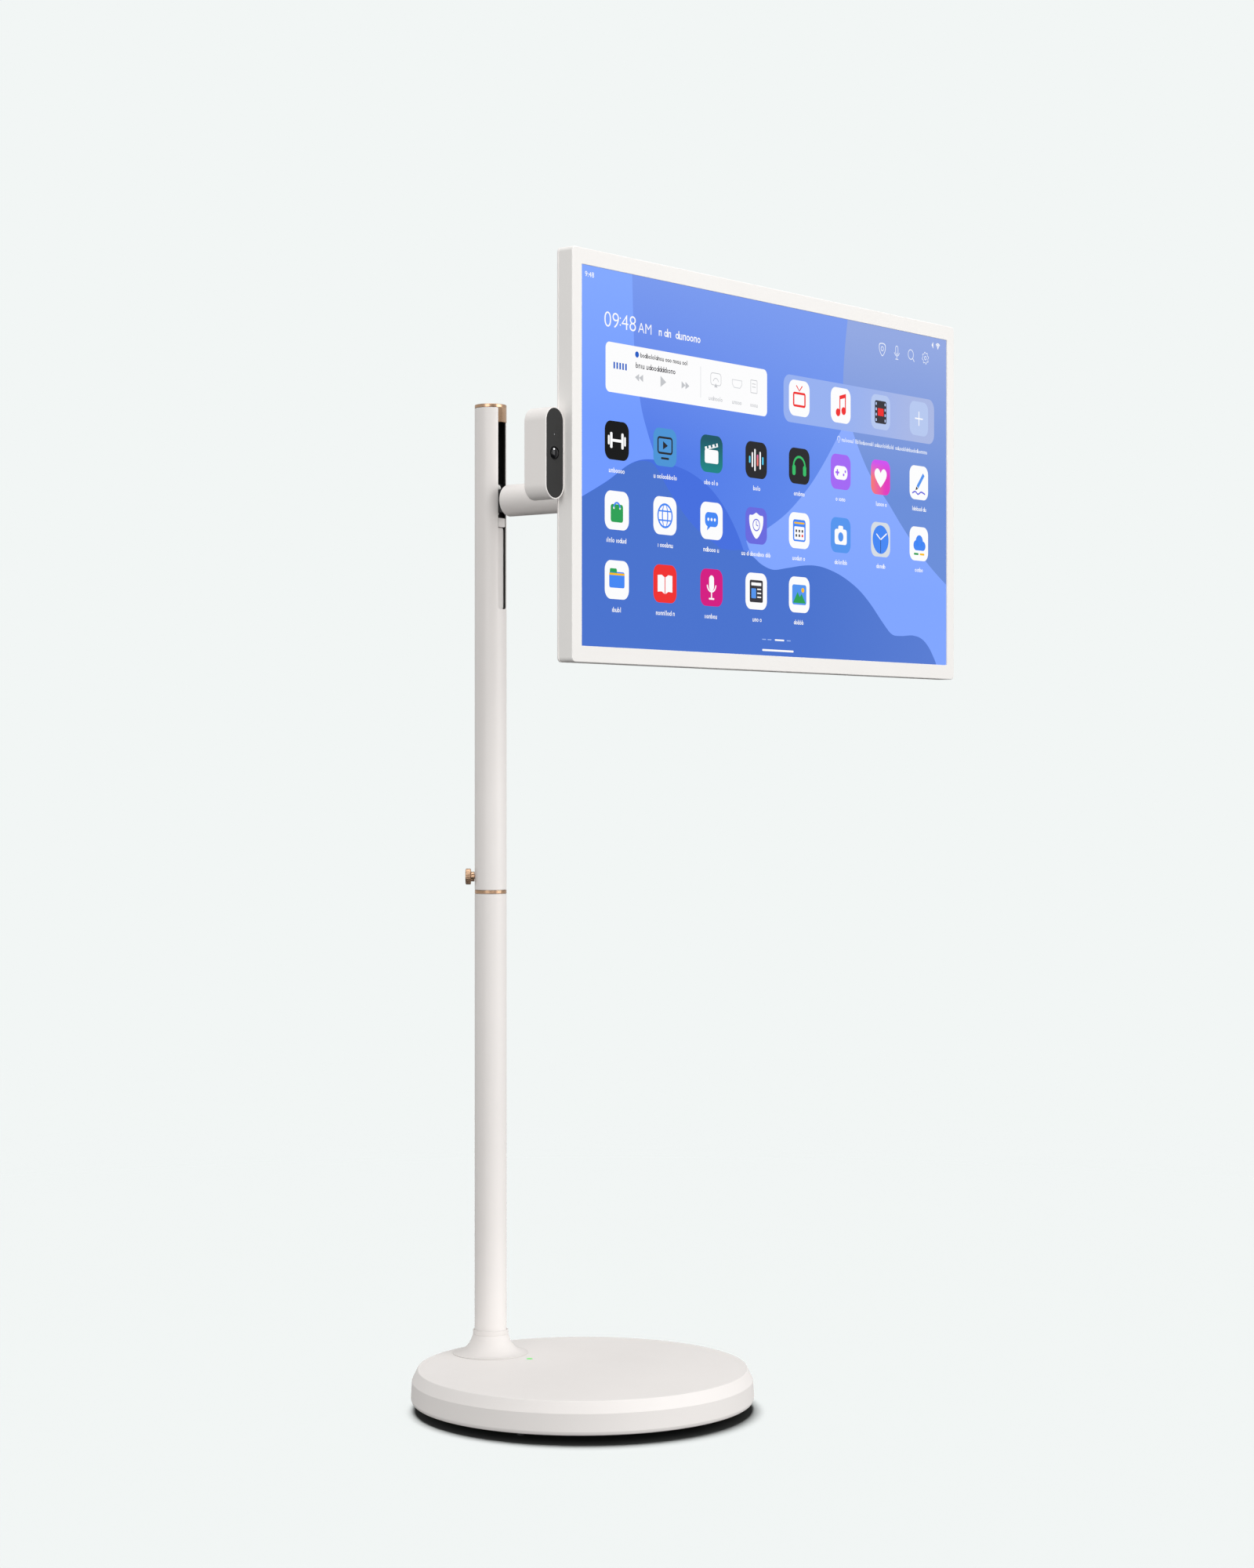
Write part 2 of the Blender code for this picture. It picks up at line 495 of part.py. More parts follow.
def foot_collar():
    """A collar that flares into the base along a quarter of an ellipse."""
    reach, drop = COLLAR_FOOT_R - COLLAR_TOP_R, COLLAR_TOP_Z - FOOT_Z - COLLAR_RIM_T
    flare = []
    for i in range(8):
        share = sin(radians(90) * i / 7)
        flare.append((COLLAR_FOOT_R - reach * sqrt(1 - share * share), COLLAR_TOP_Z - drop * share))
    pocket_r, pocket_z = FLANGE_R + COLLAR_POCKET, FOOT_Z + FLANGE_T + COLLAR_POCKET
    inside = [(COLLAR_FOOT_R, FOOT_Z), (pocket_r, FOOT_Z), (pocket_r, pocket_z),
              (POLE_R + GAP, pocket_z + COLLAR_TAPER), (POLE_R + GAP, COLLAR_TOP_Z)]
    return turned("foot_collar", flare + inside, from_pole(0, 0, 0), sides=40)


def pole_cap():
    """The cap, with a plug inside the pole and a tab that closes the top of the slot."""
    top = UPPER_TOP_Z + GAP
    profile = [(0, top + CAP_T), (POLE_R - CAP_EDGE, top + CAP_T), (POLE_R, top + CAP_T - CAP_EDGE),
               (POLE_R, top), (SPIGOT_R, top), (SPIGOT_R, CAP_PLUG_Z), (0, CAP_PLUG_Z)]
    cap = turned("pole_cap", profile, from_pole(0, 0, 0), closed=False)
    tab = box("tab", from_pole(GAP - SLOT_HALF_W, -0.024, TAB_Z),
              from_pole(SLOT_HALF_W - GAP, -0.010, top + 0.001))
    limit = upright("tab_limit", 0, TAB_Z - 0.010, top + 0.010, POLE_R, 48)
    return join(cap, combine(tab, "INTERSECT", [limit]))


def knob_point(distance):
    """A point on the clamp knob's axis, at a distance from the pole's axis."""
    return from_pole(distance * cos(KNOB_TURN), distance * sin(KNOB_TURN), KNOB_Z)


def knob_hole(name):
    """A cutter for the clamp screw's way through one wall."""
    return rod(name, knob_point(0.010), knob_point(0.025), KNOB_HOLE_R, 16)


def upper_pole():
    """The upper tube, with the slot that the arm slides in."""
    pole = tube("upper_pole", RING_Z + RING_T + GAP, UPPER_TOP_Z, POLE_R, POLE_BORE_R)
    slot = box("slot", from_pole(-SLOT_HALF_W, -0.030, SLOT_BOTTOM_Z),
               from_pole(SLOT_HALF_W, -0.005, UPPER_TOP_Z + 0.020), SLOT_CORNER_R, Y, 3)
    return cut(pole, slot, knob_hole("knob_hole"))


def clamp_knob():
    """The thumb screw that clamps the two halves of the pole."""
    centre = knob_point(0)
    knob = turned("clamp_knob", list(KNOB_PROFILE), centre, knob_point(1) - centre, 24, False)
    hold("clamp_axis", centre, knob)
    return knob


def foot_flange():
    """The steel foot that the lower tube stands on."""
    profile = [(SPIGOT_R, FLANGE_TOP_Z), (SPIGOT_R, FOOT_Z + FLANGE_T), (FLANGE_R, FOOT_Z + FLANGE_T),
               (FLANGE_R, FOOT_Z), (FLANGE_BORE_R, FOOT_Z), (FLANGE_BORE_R, FLANGE_TOP_Z)]
    return turned("foot_flange", profile, from_pole(0, 0, 0), sides=32)


def slide_parts():
    """The rail that keeps the carriage straight, and the gas spring that carries it."""
    rail = box("slot_rail", from_pole(-RAIL_HALF_W, RAIL_FRONT, RAIL_Z0),
               from_pole(RAIL_HALF_W, RAIL_BACK, RAIL_Z1))
    cut(rail, box("groove", from_pole(-GROOVE_HALF_W, RAIL_FRONT - 0.002, RAIL_Z0 - 0.010),
                  from_pole(GROOVE_HALF_W, RAIL_FRONT + GROOVE_DEPTH, RAIL_Z1 + 0.010)))
    seat = upright("gas_spring_seat", 0, SEAT_Z, GAS_BOTTOM_Z - GAP, SPIGOT_R, 32)
    floor_z = GAS_BOTTOM_Z + GAS_FLOOR_T
    cylinder = turned("gas_spring_cylinder",
                      [(0, floor_z), (GAS_BORE_R, floor_z), (GAS_BORE_R, GAS_TOP_Z),
                       (GAS_R, GAS_TOP_Z), (GAS_R, GAS_BOTTOM_Z), (0, GAS_BOTTOM_Z)],
                      from_pole(0, GAS_Y, 0), sides=24, closed=False)
    paint(nylon, seat)
    paint(steel, rail)
    paint(black, cylinder)


FOOT_Z = BASE_TOP_Z + GAP
spigot = cut(tube("pole_spigot", SPIGOT_Z0, SPIGOT_Z1, SPIGOT_R, SPIGOT_BORE_R, 40),
             knob_hole("spigot_hole"))
lower_pole = tube("lower_pole", FOOT_Z + FLANGE_T + GAP, RING_Z - GAP, POLE_R, POLE_BORE_R)
joint_ring = tube("joint_ring", RING_Z, RING_Z + RING_T, POLE_R, POLE_BORE_R)
paint(steel, foot_flange(), spigot)
paint(white, foot_collar())
paint(white_paint, lower_pole, upper_pole())
paint(bronze, joint_ring, pole_cap(), clamp_knob())
slide_parts()


# ---- carriage and arm -----------------------------------------------------------
def along_arm(profile):
    """Turns (radius, distance ahead of the pole axis) into a profile about +Y."""
    return [(r, -ahead) for r, ahead in profile]


def carriage():
    """The block that slides in the pole, with a guide tongue behind and the arm's plug ahead."""
    block = box("carriage", from_pole(-CARRIAGE_HALF_W, CARRIAGE_FRONT, CARRIAGE_Z0),
                from_pole(CARRIAGE_HALF_W, CARRIAGE_BACK, CARRIAGE_Z1))
    tongue_bar = box("tongue", from_pole(-TONGUE_HALF_W, TONGUE_FRONT, CARRIAGE_Z0 + TONGUE_SHORT),
                     from_pole(TONGUE_HALF_W, TONGUE_BACK, CARRIAGE_Z1 - TONGUE_SHORT))
    neck = box("neck", from_pole(-NECK_HALF_W, NECK_FRONT, ARM_Z - NECK_HALF_H),
               from_pole(NECK_HALF_W, NECK_BACK, ARM_Z + NECK_HALF_H))
    plug = rod("plug", from_pole(0, PLUG_FRONT, ARM_Z), from_pole(0, PLUG_BACK, ARM_Z),
               ARM_BORE_R - PLUG_SLACK, 32)
    rod_hole = upright("rod_hole", GAS_Y, CARRIAGE_Z0 - 0.005, ROD_SOCKET_Z, GAS_BORE_R, 16)
    return cut(join(block, tongue_bar, neck, plug), rod_hole)


def slot_cover():
    """The strip that closes the slot under the arm, with a lug at its top."""
    strip = box("slot_cover", from_pole(-SLOT_HALF_W, STRIP_FRONT, SLOT_BOTTOM_Z),
                from_pole(SLOT_HALF_W, STRIP_BACK, STRIP_TOP_Z))
    lug = box("lug", from_pole(-LUG_HALF_W, LUG_FRONT, LUG_Z0),
              from_pole(LUG_HALF_W, CARRIAGE_FRONT - GAP, LUG_Z1))
    return join(strip, lug)


def glide_pad(name, side):
    """A pad between the carriage and the pole's wall."""
    near, far = side * (CARRIAGE_HALF_W + GAP), side * PAD_OUT
    return box(name, from_pole(min(near, far), -PAD_HALF_D, CARRIAGE_Z0 + PAD_SHORT),
               from_pole(max(near, far), PAD_HALF_D, CARRIAGE_Z1 - PAD_SHORT), PAD_ROUND, Z, 2)


def arm_tube():
    """The arm, chamfered where it meets the pole."""
    profile = [(ARM_R - ARM_CHAMFER, -ARM_ROOT), (ARM_BORE_R, -ARM_ROOT), (ARM_BORE_R, -ARM_END),
               (ARM_R, -ARM_END), (ARM_R, -ARM_ROOT + ARM_CHAMFER)]
    return turned("arm_tube", along_arm(profile), from_pole(0, 0, ARM_Z), Y)


def pin_bore(name, y, half):
    """An upright cutter for a pin."""
    return upright(name, y, ARM_Z - half, ARM_Z + half, PIN_HOLE_R, 20)


def tilt_bore(name):
    """A level cutter for the tilt pin."""
    return rod(name, from_pole(-0.030, TILT_AT, ARM_Z), from_pole(0.030, TILT_AT, ARM_Z), PIN_HOLE_R, 20)


def arm_yoke():
    """The arm's end plug, with an ear above and below the swivel."""
    start, end, plug_r = -ARM_END - YOKE_PLUG_L, -ARM_END + GAP, ARM_BORE_R - GAP
    face = -ARM_END + YOKE_DISC_T
    profile = [(0, start), (plug_r, start), (plug_r, end), (ARM_R, end), (ARM_R, face), (0, face)]
    stub = turned("arm_yoke", along_arm(profile), from_pole(0, 0, ARM_Z), Y, 32, False)
    block = slab("ear_block", tongue(EAR_HALF_W, ARM_END - EAR_ROOT - SWIVEL_AT, radians(-90)),
                 from_pole(0, SWIVEL_AT, ARM_Z), 2 * EAR_OUT, Z)
    mouth = box("ear_mouth", from_pole(-0.030, SWIVEL_AT - 0.020, ARM_Z - EAR_IN),
                from_pole(0.030, SWIVEL_AT + EAR_MOUTH_BACK, ARM_Z + EAR_IN))
    return cut(join(stub, block), mouth, pin_bore("ear_bore", SWIVEL_AT, 0.030))


def headed_pin(name, centre, axis, half, sides=16):
    """A pin with a low head at one end."""
    profile = [(0, half + PIN_HEAD_TOP), (PIN_HEAD_R, half + PIN_HEAD_TOP), (PIN_HEAD_R, half + GAP),
               (PIN_R, half + GAP), (PIN_R, -half - PIN_END), (0, -half - PIN_END)]
    return turned(name, profile, centre, axis, sides, False)


def swivel_knuckle():
    """The block between the swivel pin and the tilt pin."""
    barrel = upright("swivel_knuckle", SWIVEL_AT, ARM_Z - BARREL_R, ARM_Z + BARREL_R, BARREL_R, 24)
    neck = box("knuckle_neck", from_pole(-KNUCKLE_HALF, TILT_AT, ARM_Z - KNUCKLE_HALF),
               from_pole(KNUCKLE_HALF, SWIVEL_AT, ARM_Z + KNUCKLE_HALF))
    front = rod("tilt_barrel", from_pole(-TILT_BARREL_HALF, TILT_AT, ARM_Z),
                from_pole(TILT_BARREL_HALF, TILT_AT, ARM_Z), TILT_BARREL_R, 24)
    return cut(join(barrel, neck, front), pin_bore("swivel_bore", SWIVEL_AT, 0.030),
               tilt_bore("tilt_bore"))


def tilt_bracket():
    """Two ears on the tilt pin, a round flange, and the shaft that the display turns on."""
    back, front = BUMP_Y + HUB_DISC_BACK - POLE_Y, BUMP_Y + HUB_DISC_FRONT - POLE_Y
    tip = BUMP_Y + HUB_SHAFT_TIP - POLE_Y
    profile = [(0, back), (HUB_DISC_R, back), (HUB_DISC_R, front), (HUB_SHAFT_R, front),
               (HUB_SHAFT_R, tip), (0, tip)]
    hub = turned("tilt_bracket", profile, from_pole(0, 0, ARM_Z), Y, 32, False)
    near, far = TILT_BARREL_HALF + GAP, BRACKET_EAR_OUT
    ears = [slab("ear", tongue(TILT_BARREL_R, TILT_AT - back + 0.001),
                 from_pole(side * (near + far) / 2, TILT_AT, ARM_Z), far - near, X) for side in (-1, 1)]
    return cut(join(hub, *ears), tilt_bore("bracket_bore"))


def hub_ring(name, outer, inner, back, front, sides):
    """A ring round the display's turning axis, between two distances behind the rear housing."""
    far, near = BUMP_Y + back, BUMP_Y + front
    profile = [(outer, far), (outer, near), (inner, near), (inner, far)]
    return turned(name, profile, (CENTRE_X, 0, ARM_Z), Y, sides)


slide_block = carriage()
cover_strip = slot_cover()
pads = [glide_pad("glide_pad_left", -1), glide_pad("glide_pad_right", 1)]
gas_rod = upright("gas_spring_rod", GAS_Y, ROD_Z0, ROD_Z1, ROD_R, 16)
arm = arm_tube()
yoke = arm_yoke()
swivel_pin = headed_pin("swivel_pin", from_pole(0, SWIVEL_AT, ARM_Z), Z, EAR_OUT)
hold("height_slide", from_pole(0, 0, ARM_Z), slide_block, cover_strip, *pads, gas_rod, arm, yoke,
     swivel_pin)
knuckle = swivel_knuckle()
tilt_pin = headed_pin("tilt_pin", from_pole(0, TILT_AT, ARM_Z), X, BRACKET_EAR_OUT)
hold("swivel_axis", from_pole(0, SWIVEL_AT, ARM_Z), knuckle, tilt_pin)
bracket = tilt_bracket()
nut = hub_ring("hub_nut", NUT_R, HUB_SHAFT_R + GAP, NUT_BACK, NUT_FRONT, 24)
hold("tilt_axis", from_pole(0, TILT_AT, ARM_Z), bracket, nut)
paint(steel, slide_block, gas_rod, swivel_pin, tilt_pin, bracket, nut, knuckle)
paint(white, cover_strip, yoke)
paint(white_paint, arm)
paint(nylon, *pads)


# ---- display --------------------------------------------------------------------
def block(name, x0, x1, depth0, depth1, z0, z1, corner=0.0, steps=4):
    """A box given from the display's centre."""
    return box(name, on_display(x0, depth0, z0), on_display(x1, depth1, z1), corner, Y, steps)


def centred(name, width, depth0, depth1, height, corner=0.0, steps=4):
    """A plate centred on the display, between two depths behind its front face."""
    return block(name, -width / 2, width / 2, depth0, depth1, -height / 2, height / 2, corner, steps)


def button_hole(z):
    """A cutter for one button, a little larger than the button."""
    outline = pill(BUTTON_W + BUTTON_SLACK, BUTTON_H + BUTTON_SLACK, 6)
    return slab("button_hole", outline, on_display(DISPLAY_W / 2, BUTTON_DEPTH, z), 0.010, X)


def front_bezel():
    """The frame round the screen, open at the back."""
    frame = soften(centred("front_bezel", DISPLAY_W, 0, FRAME_DEPTH, DISPLAY_H, CORNER_R), FRAME_EDGE, 2)
    hollow = centred("frame_hollow", DISPLAY_W - 2 * FRAME_WALL, LIP_T, 0.040,
                     DISPLAY_H - 2 * FRAME_WALL, INNER_CORNER_R, 3)
    window = centred("frame_window", WINDOW_W, -0.010, 0.010, WINDOW_H)
    return cut(frame, hollow, window, *[button_hole(z) for _, z in BUTTONS])


def button(name, z):
    """A push button in the display's right side."""
    place = on_display(DISPLAY_W / 2 + BUTTON_PROUD - BUTTON_L / 2, BUTTON_DEPTH, z)
    made = slab(name, pill(BUTTON_W, BUTTON_H, 6), place, BUTTON_L, X)
    hold(name + "_axis", place, made)
    return made


def back_cover():
    """The rear panel with its raised housing, speaker grilles and openings."""
    depth0, rear = FRAME_DEPTH + GAP, DISPLAY_T + BUMP_T
    plate = centred("back_cover", DISPLAY_W, depth0, DISPLAY_T, DISPLAY_H, CORNER_R)
    bump = centred("bump", BUMP_W, depth0 + 0.0005, rear, BUMP_H, BUMP_R, 5)
    hollow = centred("bump_hollow", BUMP_W - 2 * BUMP_WALL, 0.010, rear - BUMP_WALL,
                     BUMP_H - 2 * BUMP_WALL, BUMP_R - BUMP_WALL, 5)
    shaft_hole = rod("shaft_hole", on_display(0, 0, 0), on_display(0, 0.060, 0), HUB_HOLE_R + 0.0004, 32)
    port_t, port_h = PORT_T / 2 + GAP, PORT_H / 2 + GAP
    openings = [block("port_hole", BUMP_W / 2 - 0.010, BUMP_W / 2 + 0.010, PORT_DEPTH - port_t,
                      PORT_DEPTH + port_t, PORT_Z - port_h, PORT_Z + port_h)]
    for side in (-1, 1):
        for i in range(GRILLE_COUNT):
            x = side * (GRILLE_START + GRILLE_STEP * i)
            openings.append(block("grille_slot", x - GRILLE_HALF_W, x + GRILLE_HALF_W, 0.010, 0.040,
                                  GRILLE_Z0, GRILLE_Z1))
    return cut(join(plate, bump), hollow, shaft_hole, *openings)


def port_panel():
    """A block of sockets in the housing's side."""
    face = BUMP_W / 2 - PORT_SET_BACK
    panel = block("port_panel", face - PORT_D, face, PORT_DEPTH - PORT_T / 2, PORT_DEPTH + PORT_T / 2,
                  PORT_Z - PORT_H / 2, PORT_Z + PORT_H / 2)
    holes = [block(name, face - SOCKET_D, face + 0.005, PORT_DEPTH - high / 2, PORT_DEPTH + high / 2,
                   PORT_Z + along - wide / 2, PORT_Z + along + wide / 2)
             for name, along, wide, high in SOCKETS]
    return cut(panel, *holes)


def panel_chassis():
    """The sheet that carries the panel, with four posts to the hub plate."""
    sheet = centred("panel_chassis", CHASSIS_W, CHASSIS_DEPTH0, CHASSIS_DEPTH1, CHASSIS_H)
    rear = DISPLAY_T + BUMP_T - BUMP_WALL - GAP
    posts = [rod("hub_post", on_display(x, 0.0110, z), on_display(x, rear, z), HUB_POST_R, 12)
             for x in (-HUB_POST_AT, HUB_POST_AT) for z in (-HUB_POST_AT, HUB_POST_AT)]
    return join(sheet, *posts)


def circuit_card(name, limits, chips):
    """A circuit board with blocky parts on its rear side."""
    x0, x1, z0, z1 = limits
    rear = CARD_DEPTH + CARD_T
    card = block(name, x0, x1, CARD_DEPTH, rear, z0, z1)
    raised = [block("chip", x - w / 2, x + w / 2, CARD_DEPTH + 0.001, rear + rise, z - h / 2, z + h / 2)
              for x, z, w, h, rise in chips]
    return join(card, *raised)


def speaker(name, side):
    """A speaker box behind its grille."""
    near, far = side * SPEAKER_IN, side * SPEAKER_OUT
    return block(name, min(near, far), max(near, far), SPEAKER_DEPTH0, SPEAKER_DEPTH1,
                 SPEAKER_Z0, SPEAKER_Z1, SPEAKER_ROUND, 2)


bezel = front_bezel()
cover_glass = centred("screen_glass", PANEL_W, LIP_T + GAP, LIP_T + GAP + GLASS_T, PANEL_H)
lcd = centred("lcd_panel", PANEL_W, LCD_DEPTH0, LCD_DEPTH1, PANEL_H)
chassis = panel_chassis()
main_board = circuit_card("main_board", MAIN_BOARD, MAIN_CHIPS)
power_board = circuit_card("power_board", POWER_BOARD, POWER_CHIPS)
speakers = [speaker("speaker_left", -1), speaker("speaker_right", 1)]
rear_cover = back_cover()
ports = port_panel()
hub_plate = hub_ring("rotation_plate", HUB_PLATE_R, HUB_HOLE_R, HUB_PLATE_BACK, GAP, 40)
inside_left = FRAME_WALL - DISPLAY_W / 2
dock = block("camera_dock_plate", inside_left + GAP, inside_left + DOCK_OUT, DOCK_DEPTH0, DOCK_DEPTH1,
             -DOCK_HALF_H, DOCK_HALF_H)
hold("rotation_axis", on_display(0, DISPLAY_T + BUMP_T, 0), bezel, cover_glass, lcd, chassis, main_board,
     power_board, *speakers, rear_cover, ports, hub_plate, dock)
buttons = [button(name, z) for name, z in BUTTONS]
paint(white, bezel, rear_cover, *buttons)
paint(glass, cover_glass)
paint(black, lcd, ports, *speakers)
paint(steel, chassis, hub_plate, dock)
paint(circuit, main_board, power_board)


# ---- camera ---------------------------------------------------------------------
def on_camera(x, depth, z):
    """A point given from the middle of the camera's front rim."""
    return Vector((CAMERA_X + x, CAMERA_Y0 + depth, ARM_Z + z))


def stadium(name, width, height, depth0, depth1, steps=12):
    """A slab with round ends, between two depths behind the camera's front rim."""
    middle = on_camera(0, (depth0 + depth1) / 2, 0)
    return slab(name, pill(width, height, steps), middle, depth1 - depth0)


def camera_block(name, x0, x1, depth0, depth1, half_height):
    """A box given from the middle of the camera's front rim."""
    return box(name, on_camera(x0, depth0, -half_height), on_camera(x1, depth1, half_height))


def camera_lens():
    """The lens: a low dome ahead of the face, on a round barrel."""
    dome = []
    for i in range(5):
        turn = radians(90) * i / 4
        dome.append((LENS_R * sin(turn), LENS_PROUD - LENS_CROWN * (1 - cos(turn))))
    return turned("camera_lens", dome + [(LENS_R, -LENS_BACK), (0, -LENS_BACK)], on_camera(0, 0, 0),
                  -Y, 24, False)


def camera():
    """A pill-shaped housing, open at the front and closed by a dark face with the lens in it."""
    shell = soften(stadium("camera_shell", CAMERA_W, CAMERA_H, 0, CAMERA_T), CAMERA_EDGE, 1)
    pocket = stadium("face_pocket", FACE_W + 2 * GAP, FACE_H + 2 * GAP, -0.005, FACE_T + 0.0007)
    hollow = stadium("camera_hollow", POCKET_W, POCKET_H, 0.0010, CAMERA_T - POCKET_FLOOR_T, 8)
    cut(shell, pocket, hollow)
    face = stadium("camera_face", FACE_W, FACE_H, FACE_DEPTH, FACE_DEPTH + FACE_T)
    cut(face, rod("lens_hole", on_camera(0, -0.005, 0), on_camera(0, 0.005, 0), LENS_HOLE_R, 24))
    lens = camera_lens()
    half_w, half_h, near, far = SENSOR_CARD
    card = camera_block("camera_board", -half_w, half_w, near, far, half_h)
    half_w, half_h, near, far = SENSOR
    join(card, camera_block("sensor", -half_w, half_w, near, far, half_h))
    magnet = camera_block("camera_magnet", MAGNET_X0, MAGNET_X1, MAGNET_DEPTH0, MAGNET_DEPTH1,
                          MAGNET_HALF_H)
    paint(white, shell)
    paint(face_grey, face)
    paint(lens_black, lens)
    paint(circuit, card)
    paint(steel, magnet)
    hold("camera_slide", on_camera(0, 0, 0), shell, face, lens, card, magnet)


camera()
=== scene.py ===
"""The looks of a floor-standing smart display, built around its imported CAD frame.

Sizes are in metres. Only the places in the screen's picture are in millimetres.
"""

import json
import random
from math import cos, pi, radians, sin, tan

import bmesh
import bpy
from mathutils import Matrix, Vector

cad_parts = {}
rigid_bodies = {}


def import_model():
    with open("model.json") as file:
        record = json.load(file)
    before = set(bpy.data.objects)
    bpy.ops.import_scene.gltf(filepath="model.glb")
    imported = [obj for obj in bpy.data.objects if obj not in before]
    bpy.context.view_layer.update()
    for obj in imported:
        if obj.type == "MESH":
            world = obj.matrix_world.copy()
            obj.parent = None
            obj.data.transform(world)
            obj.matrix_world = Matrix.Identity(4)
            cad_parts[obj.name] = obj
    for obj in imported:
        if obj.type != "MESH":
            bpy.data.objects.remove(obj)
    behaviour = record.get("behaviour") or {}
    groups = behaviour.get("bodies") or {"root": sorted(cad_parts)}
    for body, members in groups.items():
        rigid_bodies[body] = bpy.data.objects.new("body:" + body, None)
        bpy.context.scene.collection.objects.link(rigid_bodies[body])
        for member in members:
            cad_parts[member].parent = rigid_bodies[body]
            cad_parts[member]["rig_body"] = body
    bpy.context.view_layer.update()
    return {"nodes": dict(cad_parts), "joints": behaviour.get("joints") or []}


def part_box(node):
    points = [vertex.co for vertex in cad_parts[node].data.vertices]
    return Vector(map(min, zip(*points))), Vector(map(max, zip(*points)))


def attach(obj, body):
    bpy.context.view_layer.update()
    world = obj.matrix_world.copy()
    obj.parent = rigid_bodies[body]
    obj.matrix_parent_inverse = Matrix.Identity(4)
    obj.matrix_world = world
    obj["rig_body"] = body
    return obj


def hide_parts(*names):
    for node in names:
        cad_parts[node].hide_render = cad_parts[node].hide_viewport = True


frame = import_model()
X, Y, Z = Vector((1, 0, 0)), Vector((0, 1, 0)), Vector((0, 0, 1))
MM = 0.001
CASTERS = range(1, 6)


# ---- colour and material tools ---------------------------------------------------
def srgb(r, g, b):
    """A screen colour, 0 to 255, as a linear one."""
    return tuple(((c / 255 + 0.055) / 1.055) ** 2.4 if c > 10 else c / 255 / 12.92 for c in (r, g, b))


def feed(tree, socket, value):
    """Links a socket to another one, or gives it a constant."""
    if isinstance(value, bpy.types.NodeSocket):
        tree.links.new(value, socket)
    else:
        socket.default_value = value


def add_node(tree, kind, inputs=None, **settings):
    node = tree.nodes.new(kind)
    for key, value in settings.items():
        setattr(node, key, value)
    for key, value in (inputs or {}).items():
        feed(tree, node.inputs[key], value)
    return node


def add_ramp(tree, value, stops):
    """Colours along a 0 to 1 value. A stop is a place and a colour."""
    node = add_node(tree, "ShaderNodeValToRGB", {"Fac": value})
    elements = node.color_ramp.elements
    while len(elements) < len(stops):
        elements.new(0.5)
    for element, (at, colour) in zip(elements, stops):
        element.position = at
        element.color = (*colour, 1.0)
    return node.outputs["Color"]


class Graph:
    """A material's node tree."""

    def __init__(self, name):
        self.material = bpy.data.materials.new(name)
        self.material.use_nodes = True
        self.tree = self.material.node_tree
        self.shader = self.tree.nodes["Principled BSDF"]
        self.place = self.add("ShaderNodeTexCoord").outputs["Object"]

    def add(self, kind, inputs=None, **settings):
        return add_node(self.tree, kind, inputs, **settings)

    def set(self, **values):
        """Feeds the shader. An underscore stands for a space in an input's name."""
        for key, value in values.items():
            feed(self.tree, self.shader.inputs[key.replace("_", " ")], value)

    def noise(self, scale, detail=4.0, stretch=None):
        where = self.place
        if stretch:
            where = self.add("ShaderNodeMapping", {"Vector": where, "Scale": stretch}).outputs[0]
        inputs = {"Vector": where, "Scale": scale, "Detail": detail, "Roughness": 0.55}
        return self.add("ShaderNodeTexNoise", inputs).outputs["Fac"]

    def spread(self, value, low, high, start=0.3, end=0.7):
        """A value between start and end, mapped to another range."""
        return self.add("ShaderNodeMapRange", {"Value": value, "From Min": start, "From Max": end,
                                               "To Min": low, "To Max": high}).outputs[0]

    def ramp(self, value, *stops):
        return add_ramp(self.tree, value, stops)

    def mix(self, factor, a, b):
        """A colour between two, each one a socket or three numbers."""
        a, b = (c if isinstance(c, bpy.types.NodeSocket) else (*c, 1.0) for c in (a, b))
        return self.add("ShaderNodeMix", {0: factor, 6: a, 7: b}, data_type="RGBA").outputs[2]

    def bump(self, height, strength, distance, under=None):
        inputs = {"Height": height, "Strength": strength, "Distance": distance}
        if under is not None:
            inputs["Normal"] = under
        return self.add("ShaderNodeBump", inputs).outputs["Normal"]


def surface(name, colour, roughness, spread=0.05, shade=0.94, metallic=0.0, grain=900.0, depth=0.1,
            stretch=None, wear=None, waves=0.0, **fixed):
    """A finish with a colour and gloss that vary a little, a fine grain, and edges that show wear."""
    g = Graph(name)
    base = g.ramp(g.noise(7.0, 5.0), (0.3, tuple(c * shade for c in colour)), (0.7, colour))
    if wear:
        edge = g.spread(g.add("ShaderNodeNewGeometry").outputs["Pointiness"], 0.0, 1.0, 0.53, 0.62)
        rubbed = g.add("ShaderNodeMath", {0: edge, 1: g.noise(60.0, 3.0)}, operation="MULTIPLY")
        base = g.mix(rubbed.outputs[0], base, wear)
    gloss = g.spread(g.noise(23.0, 6.0, stretch), roughness - spread, roughness + spread)
    normal = g.bump(g.noise(grain, 3.0, stretch), depth, 0.0004)
    if waves:
        normal = g.bump(g.noise(140.0, 2.0), waves, 0.0006, normal)
    g.set(Base_Color=base, Metallic=metallic, Roughness=gloss, Normal=normal, **fixed)
    return g.material


def white(name, colour, roughness, grain, depth, specular, shade=0.975, wear=(0.93, 0.91, 0.89), **more):
    return surface(name, colour, roughness, shade=shade, grain=grain, depth=depth, wear=wear,
                   Specular_IOR_Level=specular, **more)


